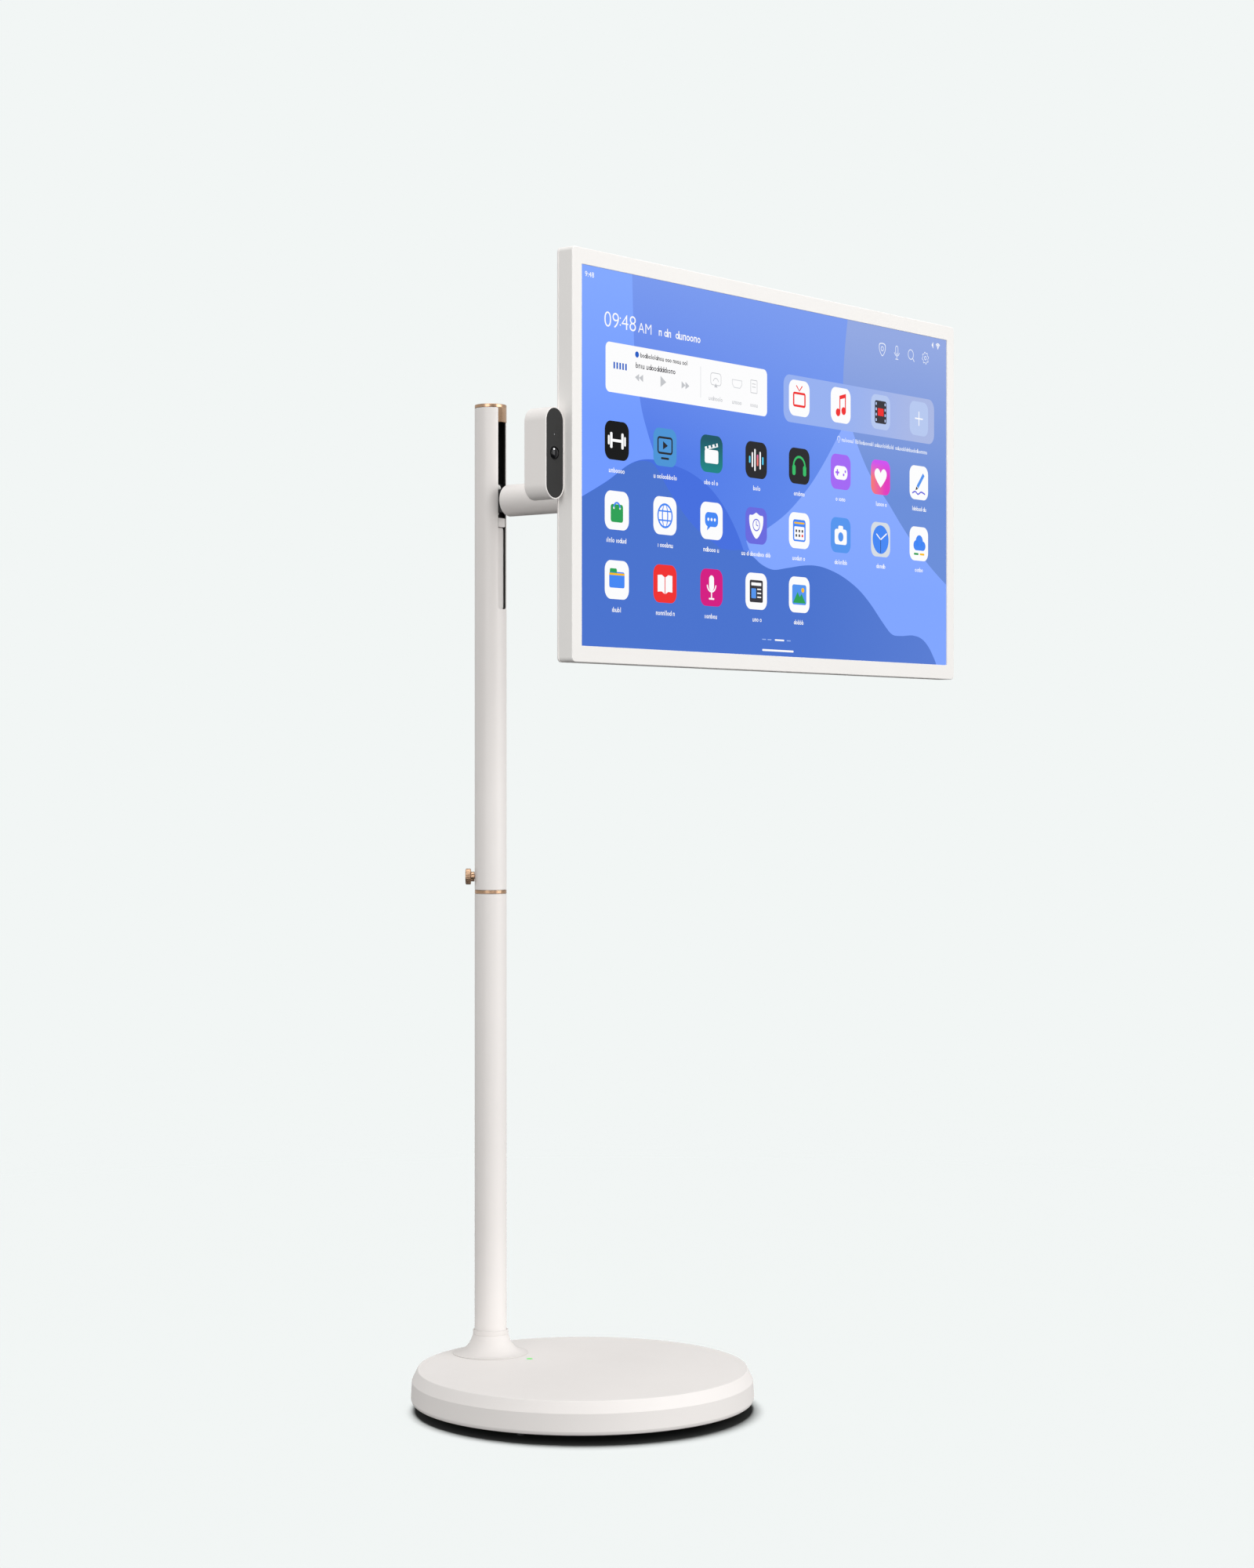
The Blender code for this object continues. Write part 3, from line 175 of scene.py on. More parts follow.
white_plastic = white("moulded_white", (0.858, 0.824, 0.804), 0.46, 2600.0, 0.10, 0.4)
base_white = white("base_white", (0.890, 0.853, 0.833), 0.52, 1900.0, 0.16, 0.35)
bezel_white = white("bezel_white", (0.862, 0.842, 0.822), 0.46, 2600.0, 0.08, 0.4, 0.98)
# A darker copy of the white for the collar: painted shade, to hold down the light that the base's top
# bounces onto it.
collar_white_shaded = white("collar_white_shaded", (0.80, 0.765, 0.745), 0.55, 1900.0, 0.12, 0.25,
                     wear=(0.86, 0.83, 0.81))
white_paint = white("powder_coat", (0.848, 0.812, 0.792), 0.40, 1400.0, 0.06, 0.45, waves=0.10)
bronze = surface("satin_bronze", (0.555, 0.36, 0.235), 0.26, 0.05, 0.9, 1.0, 500.0, 0.035, (1, 1, 10),
                 (0.80, 0.56, 0.38))
brushed = surface("brushed_steel", (0.56, 0.57, 0.59), 0.34, 0.08, 0.85, 1.0, 600.0, 0.16, (1, 12, 1),
                  (0.75, 0.76, 0.78))
sheet_steel = surface("zinc_steel", (0.46, 0.47, 0.49), 0.42, 0.10, 0.75, 1.0, 220.0, 0.10,
                      wear=(0.62, 0.63, 0.65))
cast_iron = surface("cast_iron", (0.085, 0.085, 0.09), 0.68, 0.08, 0.7, 0.5, 420.0, 0.7, waves=0.5)
black_plastic = surface("black_plastic", (0.022, 0.022, 0.024), 0.50, 0.07, 0.8, grain=1600.0, depth=0.2,
                        wear=(0.07, 0.07, 0.075))
# Black for the speaker cloth, and painted shade inside the upper tube's bore and on the slot's walls.
slot_black = surface("bore_shade_and_speaker_cloth", (0.044, 0.045, 0.043), 0.40, 0.08, 0.6, depth=0.15)
rubber = surface("wheel_rubber", (0.085, 0.085, 0.09), 0.78, 0.06, 0.7, grain=1200.0, depth=0.35,
                 wear=(0.16, 0.16, 0.165))
wheel_grey = surface("wheel_hub", (0.30, 0.30, 0.31), 0.5, 0.06, 0.85, grain=1500.0, depth=0.12)
nylon = surface("nylon", (0.74, 0.74, 0.71), 0.55, 0.06, 0.92, grain=1300.0, depth=0.15)
face_grey = surface("camera_window", (0.0190, 0.0188, 0.0186), 0.34, 0.05, 0.86, grain=2000.0, depth=0.04,
                    Specular_IOR_Level=0.2)
lens_glass = surface("lens_coating", (0.002, 0.002, 0.003), 0.07, 0.02, 0.5, grain=300.0, depth=0.01,
                     IOR=1.30)
lens_ring = surface("lens_ring", (0.004, 0.004, 0.0045), 0.3, 0.06, 0.6, depth=0.08,
                    Specular_IOR_Level=0.25)


def circuit_material():
    """A green board under a web of darker and paler tracks."""
    g = Graph("circuit_board")
    cells = g.add("ShaderNodeTexVoronoi", {"Vector": g.place, "Scale": 260.0}, feature="DISTANCE_TO_EDGE")
    tracks = cells.outputs["Distance"]
    copper = g.ramp(tracks, (0.03, (0.05, 0.30, 0.12)), (0.07, (0.012, 0.11, 0.05)))
    g.set(Base_Color=g.mix(g.spread(g.noise(30.0), 0.0, 0.5), copper, (0.02, 0.16, 0.08)),
          Roughness=g.spread(g.noise(80.0), 0.3, 0.45), Normal=g.bump(tracks, 0.3, 0.0004))
    return g.material


def status_material():
    """The small green light, switched on."""
    g = Graph("status_light_lens")
    glow = g.ramp(g.noise(900.0), (0.3, (0.10, 0.62, 0.08)), (0.7, (0.20, 0.82, 0.16)))
    g.set(Base_Color=(0.02, 0.12, 0.03, 1), Emission_Color=glow, Emission_Strength=0.9,
          Roughness=g.spread(g.noise(60.0), 0.25, 0.35))
    return g.material


def lit(name, colour, fades):
    """A colour of the lit screen under its gloss. fades are (axis, colour, start, end)."""
    g = Graph(name)
    hue = colour
    for axis, other, start, end in fades:
        place = g.add("ShaderNodeSeparateXYZ", {"Vector": g.place}).outputs[axis]
        hue = g.mix(g.spread(place, 0.0, 1.0, start, end), hue, other)
    hue = g.mix(g.spread(g.noise(700.0, 2.0), 0.0, 0.035), hue, tuple(c * 0.6 for c in colour))
    g.set(Base_Color=(0.0, 0.0, 0.0, 1), Emission_Color=hue, Emission_Strength=1.0,
          Specular_IOR_Level=0.09, Roughness=g.spread(g.noise(9.0, 6.0), 0.10, 0.22))
    return g.material


circuit = circuit_material()
status_green = status_material()


# ---- shape tools -----------------------------------------------------------------
def polar(radius, angle):
    return radius * cos(angle), radius * sin(angle)


def rounded(corners, edge=0.0, steps=5, closed=False):
    """A line with its corners rounded by edge, or by the corner's own third number."""
    points = [Vector(corner[:2]) for corner in corners]
    count, out = len(points), []
    for i, point in enumerate(points):
        radius = corners[i][2] if len(corners[i]) > 2 else edge
        before, after = points[i - 1] - point, points[(i + 1) % count] - point
        stays = radius <= 0 or (not closed and i in (0, count - 1))
        half = 0 if stays else before.angle(after) / 2
        if not 0 < half < pi / 2 - 0.01:
            out.append(tuple(point))
            continue
        reach = min(radius / tan(half), 0.49 * before.length, 0.49 * after.length)
        radius = reach * tan(half)
        centre = point + (before.normalized() + after.normalized()).normalized() * radius / sin(half)
        start = point + before.normalized() * reach - centre
        turn = (pi - 2 * half) * (1 if start.cross(point - centre) > 0 else -1)
        for k in range(steps + 1):
            a = turn * k / steps
            out.append((centre.x + start.x * cos(a) - start.y * sin(a),
                        centre.y + start.x * sin(a) + start.y * cos(a)))
    return out


def quarter(count):
    """Points round a quarter of a circle, each as what is left to its two tangents."""
    turns = [radians(90 * k / (count - 1)) for k in range(count)]
    return [(1 - cos(a), 1 - sin(a)) for a in turns]


def skin(shape, rings, loop=False, caps=True):
    """Faces between rings of points that all have the same count. A ring of one point is a tip."""
    rows = [[shape.verts.new(p) for p in ring] for ring in rings]
    for a, b in zip(rows, rows[1:] + rows[:1] if loop else rows[1:]):
        n = max(len(a), len(b))
        for i in range(n):
            j = (i + 1) % n
            face = [a[i % len(a)], a[j % len(a)], b[j % len(b)], b[i % len(b)]]
            shape.faces.new([v for k, v in enumerate(face) if v not in face[:k]])
    if caps and not loop:
        for row in (rows[0], rows[-1]):
            if len(row) > 2:
                shape.faces.new(row)


def shade(mesh, sharp=28.0):
    mesh.shade_smooth()
    mesh.set_sharp_from_angle(angle=radians(sharp))


def show(name, mesh):
    made = bpy.data.objects.new(name, mesh)
    bpy.context.scene.collection.objects.link(made)
    return made


def finish_piece(name, shape, materials, sharp=28.0):
    bmesh.ops.recalc_face_normals(shape, faces=shape.faces)
    mesh = bpy.data.meshes.new(name)
    shape.to_mesh(mesh)
    shape.free()
    for material in materials if isinstance(materials, list) else [materials]:
        mesh.materials.append(material)
    shade(mesh, sharp)
    return show(name, mesh)


def standing(place, axis):
    """The turn and shift that take the Z axis to an axis through a place."""
    return Matrix.Translation(place) @ Vector(axis).to_track_quat("Z", "Y").to_matrix().to_4x4()


def turned(name, profile, material, place=(0, 0, 0), axis=Z, sides=128, loop=False, sharp=28.0):
    """A profile of (radius, height) turned about an axis. It starts and ends on it, or is a loop."""
    turn = standing(place, axis)
    rings = []
    for r, h in profile:
        spokes = 1 if r < 1e-7 else sides
        rings.append([turn @ Vector((*polar(r, 2 * pi * i / sides), h)) for i in range(spokes)])
    shape = bmesh.new()
    skin(shape, rings, loop, False)
    return finish_piece(name, shape, material, sharp)


def soft_rect(width, height, radius, steps=8):
    """A rounded rectangle's points about its centre. Every one with the same steps has the same count."""
    radius = max(0.00005, min(radius, width / 2, height / 2))
    points = []
    for cx, cz, start in ((1, -1, -90), (1, 1, 0), (-1, 1, 90), (-1, -1, 180)):
        for k in range(steps + 1):
            u, v = polar(radius, radians(start + 90 * k / steps))
            points.append((cx * (width / 2 - radius) + u, cz * (height / 2 - radius) + v))
    return points


def facing_y(u, v, depth, centre):
    return Vector((centre[0] + u, centre[1] + depth, centre[2] + v))


def facing_x(u, v, depth, centre):
    return Vector((centre[0] + depth, centre[1] + u, centre[2] + v))


def inset_ring(size, radius, inset, depth, centre, facing=facing_y, steps=8):
    outline = soft_rect(size[0] - 2 * inset, size[1] - 2 * inset, radius - inset, steps)
    return [facing(u, v, depth, centre) for u, v in outline]


def shell(name, section, size, radius, material, centre, facing=facing_y, steps=8, loop=False):
    """A section of (inset, depth) carried round a rounded rectangle."""
    shape = bmesh.new()
    skin(shape, [inset_ring(size, radius, *at, centre, facing, steps) for at in section], loop)
    return finish_piece(name, shape, material)


def pad(name, size, radius, low, high, edge, material, centre, facing=facing_y, steps=8):
    """A plate with rounded rims between two depths."""
    inner, keep = size[0] / 2 * 0.98, min(size) / 2 - 0.00004
    section = rounded([(inner, low), (0, low), (0, high), (inner, high)], edge, 4)[1:-1]
    return shell(name, [(min(i, keep), d) for i, d in section], size, radius, material, centre, facing,
                 steps)


def plug(size, radius, low, high, centre, facing=facing_y, steps=8):
    """A cutter for a slot."""
    return pad("cutter", size, radius, low, high, 0.0001, white_plastic, centre, facing, steps)


def bore(radius, low, high, place, axis=Y, sides=32, wide=None):
    """A cutter for a round hole. wide is its radius at the high end, if it is another one."""
    return turned("cutter", [(0, low), (radius, low), (wide or radius, high), (0, high)], white_plastic,
                  place, axis, sides)


def drill(body, *cutters):
    """Cuts shapes out of a piece, and removes them."""
    for cutter in cutters:
        step = body.modifiers.new("cut", "BOOLEAN")
        step.operation, step.solver, step.object = "DIFFERENCE", "EXACT", cutter
    bpy.context.view_layer.update()
    cut = bpy.data.meshes.new_from_object(body.evaluated_get(bpy.context.evaluated_depsgraph_get()))
    body.modifiers.clear()
    body.data = cut
    for cutter in cutters:
        bpy.data.objects.remove(cutter, do_unlink=True)
    shade(cut)


def merge(name, pieces):
    """One piece made of several that don't touch."""
    mesh = bpy.data.meshes.new(name)
    whole = bmesh.new()
    for piece in pieces:
        whole.from_mesh(piece.data)
    whole.to_mesh(mesh)
    whole.free()
    for one in pieces[0].data.materials:
        mesh.materials.append(one)
    for piece in pieces:
        bpy.data.objects.remove(piece, do_unlink=True)
    return show(name, mesh)


def soften(piece, width, segments, angle):
    bevel = piece.modifiers.new("soft_edges", "BEVEL")
    bevel.width, bevel.segments = width, segments
    bevel.limit_method, bevel.angle_limit = "ANGLE", radians(angle)
    return bevel


def put(piece, body, slot, *replaced):
    """Makes a piece ride on a body, and hides the CAD nodes that it replaces. The slot is not recorded: it
    only decides whether the piece gets even shading.
    """
    if slot != "display_glass":
        steady = piece.modifiers.new("even_shading", "WEIGHTED_NORMAL")
        steady.keep_sharp, steady.weight = True, 90
    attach(piece, body)
    if replaced:
        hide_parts(*replaced)


def heads(name, body, profile, spots, material, axis=Y):
    """Screw heads of one profile at many spots, as one piece."""
    made = [turned("head", rounded(*profile), material, spot, axis, 32) for spot in spots]
    put(merge(name, made), body, "steel")


# ---- CAD nodes that stay ---------------------------------------------------------
FORKS = " ".join(f"caster_fork_{number}" for number in CASTERS)
FINISHES = (
    (black_plastic, "carriage gas_spring_cylinder slot_rail base_tray battery_pack power_inlet lcd_panel "
                    "speaker_left speaker_right port_panel " + FORKS),
    (sheet_steel, "pole_spigot foot_flange swivel_knuckle tilt_bracket panel_chassis camera_dock_plate"),
    (brushed, "gas_spring_rod swivel_pin tilt_pin hub_nut camera_magnet"),
    (circuit, "charge_board main_board power_board camera_board"),
    (nylon, "glide_pad_left glide_pad_right gas_spring_seat"),
    (cast_iron, "ballast_plate"),
)
EDGES_MM = (
    (0.8, "swivel_knuckle"), (0.7, "arm_yoke"), (0.6, "tilt_bracket " + FORKS), (0.5, "base_tray"),
    (0.4, "carriage glide_pad_left glide_pad_right"),
    (0.35, "power_button volume_up_button volume_down_button"),
    (0.3, "power_inlet slot_rail"), (0.25, "port_panel"),
)


def by_name(table):
    return {name: value for value, names in table for name in names.split()}


def dress_cad_nodes():
    """Finishes and soft edges for the CAD's own nodes. A node without a finish here is white."""
    finishes, edges = by_name(FINISHES), by_name(EDGES_MM)
    for name, node in frame["nodes"].items():
        node.data.materials.clear()
        node.data.materials.append(finishes.get(name, white_plastic))
        if name in edges:
            soften(node, edges[name] * MM, 3, 35).harden_normals = True


dress_cad_nodes()


# ---- measures read from the frame ------------------------------------------------
def middle(node):
    low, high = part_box(node)
    return (low + high) / 2


def joint_axis(body):
    """The axis that a body moves on."""
    return Vector(next(j["axis"] for j in frame["joints"] if j["child"] == body)).normalized()


def opening_for(node, gap, radius, reach, facing, face=None):
    """A cutter for the opening that a node sits in, at face or at the node's own far side."""
    low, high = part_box(node)
    y, z = (low.y + high.y) / 2, (low.z + high.z) / 2
    tall = high.z - low.z + gap
    if facing is facing_x:
        return plug((high.y - low.y + gap, tall), radius, -reach, reach, (face or high.x, y, z), facing)
    return plug((high.x - low.x + gap, tall), radius, -reach, reach, ((low.x + high.x) / 2, high.y, z))


upper_low, upper_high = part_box("upper_pole")
pole = Vector(((upper_low.x + upper_high.x) / 2, (upper_low.y + upper_high.y) / 2, 0))
POLE_R = (upper_high.x - upper_low.x) / 2
POLE_WALL = 0.0020
base_low, base_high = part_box("base_cover")
base = Vector(((base_low.x + base_high.x) / 2, (base_low.y + base_high.y) / 2, 0))
BASE_R = (base_high.x - base_low.x) / 2
BASE_TOP, BASE_FOOT = base_high.z, base_low.z
bezel_low, bezel_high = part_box("front_bezel")
screen = Vector(((bezel_low.x + bezel_high.x) / 2, bezel_low.y, (bezel_low.z + bezel_high.z) / 2))
DISPLAY_W, DISPLAY_H = bezel_high.x - bezel_low.x, bezel_high.z - bezel_low.z
FRAME_DEPTH = bezel_high.y - bezel_low.y
BACK_DEPTH, BUMP_DEPTH = (corner.y - screen.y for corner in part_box("back_cover"))
PLATE_DEPTH = 0.0210                    # from the display's front to its flat back
CORNER = 0.0050                         # the radius of the display's corners
WINDOW_W, WINDOW_H = 0.7084, 0.3985     # the picture


def on_display(x, z):
    """A spot on the display, from its middle, at the depth of its front."""
    return screen.x + x, screen.y, screen.z + z


# ---- base ------------------------------------------------------------------------
def make_base():
    """The cover, with a flat top, a sloped shoulder and a rounded rim, and the status light in it."""
    shoulder_r, shoulder_z, top_r, wall = BASE_R - 0.0012, 0.0345, BASE_R - 0.0078, 0.0030
    flat = [(top_r * k / 12, BASE_TOP) for k in range(12)]
    outer = rounded([(0, BASE_TOP), (top_r, BASE_TOP, 0.0013), (shoulder_r, shoulder_z, 0.0010),
                     (BASE_R, BASE_FOOT + 0.0040, 0.0034), (BASE_R - 0.0009, BASE_FOOT + 0.0012, 0.0010),
                     (BASE_R - 0.0020, BASE_FOOT, 0.0006), (BASE_R - wall, BASE_FOOT)], steps=6)
    inner = [(BASE_R - wall, BASE_FOOT + 0.004), (shoulder_r - wall, shoulder_z - 0.001),
             (top_r - 0.0024, BASE_TOP - wall), (0, BASE_TOP - wall)]
    cover = turned("base_shell", flat + outer[1:] + inner, base_white, base, sides=256)
    light = middle("status_light")
    light.z = 0
    drill(cover, bore(0.00405, 0.040, 0.060, light, Z, 48),
          opening_for("power_inlet", 0.0006, 0.0008, 0.012, facing_y))
    put(cover, "stand", "white_plastic", "base_cover")
    top, lens_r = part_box("status_light")[1].z, 0.00375
    lens = rounded([(0, top), (0.0030, top - 0.00008, 0.001), (lens_r, top - 0.0006, 0.0003),
                    (lens_r, 0.0400), (0, 0.0400)], steps=4)
    put(turned("status_lens", lens, status_green, light, sides=48), "stand", "status_light",
        "status_light")


def make_feet():
    """The screws under the tray, and the twin wheels of the casters."""
    tray_z, screws_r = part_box("base_tray")[0].z, 0.118
    spots = []
    for k in range(6):
        u, v = polar(screws_r, radians(30 + 60 * k))
        spots.append((base.x + u, base.y + v, tray_z))
    head = [(0, -0.0006), (0.0012, -0.0006), (0.0014, -0.0016), (0.0030, -0.0016), (0.0034, 0.0002),
            (0, 0.0002)]
    heads("tray_screws", "stand", (head, 0.0003, 3), spots, sheet_steel, Z)
    wheel_r, near, far, hub_r, axle_r = 0.0140, 0.0044, 0.0119, 0.0032, 0.0029
    tyre = rounded([(hub_r, near), (wheel_r - 0.0012, near, 0.0006), (wheel_r, near + 0.0012, 0.001),
                    (wheel_r, far - 0.0014, 0.001), (wheel_r - 0.0014, far, 0.0006),
                    (0.0108, far, 0.0002), (0.0104, far - 0.0007, 0.0002), (0.0062, far - 0.0007, 0.0002),
                    (0.0058, far, 0.0002), (hub_r, far)], steps=4)
    axle = rounded([(0, -0.0118), (axle_r, -0.0118), (axle_r, 0.0118), (0, 0.0118)], 0.0005, 3)
    face, cap_r = 0.0113, 0.0056
    cap = rounded([(0, face + 0.0003), (0.0048, face + 0.0003), (cap_r, face - 0.0002),
                   (cap_r, face - 0.001), (0, face - 0.001)], 0.0003, 3)
    for number in CASTERS:
        body = f"caster_wheels_{number}"
        at, across = middle(body), joint_axis(body)

        def pair(name, profile, material, sides, loop=False):
            return [turned(name, [(r, side * h) for r, h in profile], material, at, across, sides, loop)
                    for side in (-1, 1)]

        tyres = pair("wheel", tyre, rubber, 96, True) + [turned("axle", axle, rubber, at, across, 32)]
        put(merge(f"caster_tyres_{number}", tyres), body, "grey_rubber", body)
        put(merge(f"caster_hub_caps_{number}", pair("cap", cap, wheel_grey, 48)), body, "nylon")


def make_collar():
    """The foot of the pole: a short sleeve with a fine groove, which flares out into the base."""
    low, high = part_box("foot_collar")
    foot, top, foot_r, top_r = low.z, high.z, (high.x - low.x) / 2, 0.0215
    reach, drop, groove_r, seat_r = foot_r - top_r, top - foot - 0.0006, top_r - 0.00035, 0.0286
    flare = [(POLE_R + 0.0003, top - 0.0004), (POLE_R + 0.0005, top), (top_r - 0.0003, top),
             (top_r, top - 0.0003), (top_r, top - 0.0050), (groove_r, top - 0.0053),
             (groove_r, top - 0.0057), (top_r + 0.00005, top - 0.0060)]
    for i in range(1, 41):
        share = sin(radians(90) * (0.22 + 0.78 * i / 40))
        spot = (foot_r - reach * (1 - share * share) ** 0.5, top - drop * share)
        if spot[1] < top - 0.0061:
            flare.append(spot)
    flare += [(foot_r, foot), (seat_r, foot), (seat_r, foot + 0.0036), (POLE_R + 0.0003, foot + 0.0076)]
    # The collar takes the darker white, which paints shade on it.
    put(turned("foot_flare", flare, collar_white_shaded, pole, sides=160, loop=True, sharp=40), "stand",
        "white_plastic", "foot_collar")


# ---- pole ------------------------------------------------------------------------
BORE_R = POLE_R - POLE_WALL
SLOT_W = 0.0140
TAB_LEFT, TAB_RIGHT, TAB_LOW = -0.0067, 0.0137, 1.1850
PLUG_LOW = 1.1905                       # the underside of the cap's plug, above the carriage at its highest
KNOB = Vector((pole.x, pole.y, middle("clamp_knob").z))


def knob_axis():
    """The way the clamp knob points, out from the pole."""
    axis = joint_axis("clamp_knob")
    return axis if axis.dot(middle("clamp_knob") - pole) > 0 else -axis


def darken_bore(piece):
    """The tube's bore and the slot's walls are black: a dark liner, which also paints the shade inside the
    tube.
    """
    piece.data.materials.append(slot_black)
    for face in piece.data.polygons:
        out = Vector((face.center.x - pole.x, face.center.y - pole.y, 0))
        inside = out.length < BORE_R + 0.0004 and face.normal.dot(out) < 0
        in_slot = abs(out.x) < SLOT_W / 2 + 0.0002 and out.y < 0 and out.length < POLE_R - 0.00015
        if inside or (in_slot and abs(face.normal.y) < 0.7):
            face.material_index = 1


def make_pole():
    """Two tubes with a bronze ring between them. The upper one has the slot and the thumbscrew's hole."""

    def tube(name, node):
        low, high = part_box(node)
        profile = rounded([(POLE_R, low.z), (POLE_R, high.z), (BORE_R, high.z), (BORE_R, low.z)], 0.0005,
                          4, True)
        return turned(name, profile, white_paint, pole, loop=True)

    put(tube("pole_lower_tube", "lower_pole"), "stand", "white_painted_tube", "lower_pole")
    upper = tube("pole_upper_tube", "upper_pole")
    foot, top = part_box("slot_cover")[0].z, upper_high.z + 0.030
    slot = plug((SLOT_W, top - foot), 0.0030, -0.020, 0.020, (pole.x, pole.y - 0.026, (top + foot) / 2),
                steps=6)
    notch_w, notch_h = TAB_RIGHT + 0.0003, 0.080
    notch = plug((notch_w, notch_h), 0.0008, -0.020, 0.005,
                 (pole.x + notch_w / 2, pole.y - 0.010, TAB_LOW - 0.0003 + notch_h / 2))
    drill(upper, slot, notch, bore(0.0034, 0.010, 0.030, KNOB, knob_axis()))
    soften(upper, 0.00025, 2, 50)
    darken_bore(upper)
    put(upper, "stand", "white_painted_tube", "upper_pole")
    low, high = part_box("joint_ring")
    groove_r, fine = POLE_R - 0.0002, 0.0001
    ring = rounded([(POLE_R, low.z, 0.0004), (POLE_R, low.z + 0.0017, fine),
                    (groove_r, low.z + 0.0019, fine), (groove_r, low.z + 0.0023, fine),
                    (POLE_R, low.z + 0.0025, fine), (POLE_R, high.z, 0.0004), (BORE_R, high.z, 0.0002),
                    (BORE_R, low.z, 0.0002)], steps=3, closed=True)
    put(turned("pole_ring", ring, bronze, pole, loop=True, sides=160), "stand", "bronze", "joint_ring")


def make_cap():
    """The bronze cap, with the tab that closes the top of the slot."""
    top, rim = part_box("pole_cap")[1].z, upper_high.z + 0.0003
    plug_r = POLE_R - 0.0024
    cap = rounded([(0, top - 0.0002), (POLE_R - 0.0028, top - 0.0002, 0.0004),
                   (POLE_R - 0.0022, top, 0.0003), (POLE_R, top, 0.0008), (POLE_R, rim, 0.0002),
                   (plug_r, rim, 0.0001), (plug_r, PLUG_LOW, 0.0004), (0, PLUG_LOW)], steps=4)
    put(turned("pole_cap_disc", cap, bronze, pole, sides=160), "stand", "bronze", "pole_cap")
    tab_high, tab_r, chamfer, steps = rim + 0.0009, POLE_R - 0.0022, 0.0004, 16
    rings = []
    for k in range(steps + 1):
        across = TAB_LEFT + (TAB_RIGHT - TAB_LEFT) * k / steps
        end = chamfer if k in (0, steps) else 0.0
        section = ((tab_r, TAB_LOW + end), (POLE_R - chamfer, TAB_LOW + end),
                   (POLE_R - end, TAB_LOW + chamfer + end), (POLE_R - end, tab_high), (tab_r, tab_high))
        rings.append([Vector((pole.x + across, pole.y - (r * r - across * across) ** 0.5, z)) for r,
                      z in section])
    shape = bmesh.new()
    skin(shape, rings)
    put(finish_piece("pole_cap_tab", shape, bronze), "stand", "bronze")


def make_knob():
    """The thumbscrew: a knurled head, a shoulder that meets the pole, and a shank that goes into it."""
    turn, sides, groove = standing(KNOB, knob_axis()), 144, 0.00022
    grip_r, lip_r, neck_r, shank_r = 0.00975, 0.0096, 0.0061, 0.0030
    profile = [(0, 0.0302), (0.0060, 0.0302), (0.0064, 0.0306), (0.0086, 0.0306), (0.0092, 0.0304),
               (lip_r, 0.0299), (grip_r, 0.0294), (grip_r, 0.0250), (lip_r, 0.0245), (0.0090, 0.0241),
               (0.0068, 0.0240), (neck_r, 0.0237), (0.0059, 0.0230), (neck_r, 0.0203), (0.0058, 0.0199),
               (shank_r, 0.0199), (shank_r, 0.0135), (0, 0.0135)]
    rings = []
    for r, height in profile:
        ring = []
        for i in range(sides if r else 1):
            dent = groove if r == grip_r and i % 4 in (0, 1) else 0
            ring.append(turn @ Vector((*polar(r - dent, 2 * pi * i / sides), height)))
        rings.append(ring)
    shape = bmesh.new()
    skin(shape, rings, caps=False)
    put(finish_piece("clamp_knob_knurled", shape, bronze, 24), "clamp_knob", "bronze", "clamp_knob")


def make_slide():
    """What shows in the pole's slot: the cover strip with its lug, and the guide rollers."""
    low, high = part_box("slot_cover")
    lug_z, gap = 1.0570, 0.0006
    strip = pad("slot_strip", (0.0138, lug_z - gap - low.z), 0.0028, pole.y - 0.01475, pole.y - 0.01325,
                0.0003, white_plastic, (pole.x, 0, (low.z + lug_z - gap) / 2))
    lug = pad("lug", (0.0126, high.z - lug_z), 0.0016, low.y, pole.y - 0.0113, 0.0005, white_plastic,
              (pole.x, 0, (high.z + lug_z) / 2))
    put(merge("slot_cover_strip", [strip, lug]), "carriage", "white_plastic", "slot_cover")
    left, right = -0.0058, -0.0006
    rollers = []
    for height, wide in ((1.1042, 0.0100), (1.0740, 0.0050)):
        profile = rounded([(0, left), (wide / 2, left), (wide / 2, right), (0, right)], 0.0008, 3)
        rollers.append(turned("roller", profile, nylon, (pole.x, pole.y - 0.0124, height), X, 32))
    put(merge("guide_rollers", rollers), "carriage", "nylon")


# ---- arm -------------------------------------------------------------------------
HUB_BORE_R = 0.0114


def make_arm():
    """The tube from the slot to the display, and the plate and bolts at the display's back."""
    low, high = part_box("arm_tube")
    radius = (high.x - low.x) / 2
    inner = radius - 0.0024
    tube = rounded([(radius, low.y, 0.0005), (radius, high.y, 0.0012), (inner, high.y, 0.0004),
                    (inner, low.y, 0.0003)], steps=6, closed=True)
    put(turned("arm_tube_painted", tube, white_paint, (pole.x, 0, (low.z + high.z) / 2), Y, 144, True),
        "carriage", "white_painted_tube", "arm_tube")
    low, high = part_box("rotation_plate")
    radius = (high.x - low.x) / 2
    plate = rounded([(radius, low.y, 0.0003), (radius, high.y, 0.0014), (HUB_BORE_R, high.y, 0.0005),
                     (HUB_BORE_R, low.y, 0.0002)], closed=True)
    put(turned("hub_plate", plate, white_plastic, (screen.x, 0, screen.z), Y, 160, True), "display",
        "white_plastic", "rotation_plate")
    spots = []
    for k in range(4):
        u, v = polar(0.0395, radians(45 + 90 * k))
        spots.append((screen.x + u, high.y, screen.z + v))
    head = [(0, 0.0002), (0.0013, 0.0002), (0.0013, 0.0012), (0.0026, 0.0012), (0.0028, 0.0002),
            (0.0028, -0.0006), (0, -0.0006)]
    heads("hub_bolts", "display", (head, 0.0002, 3), spots, brushed)


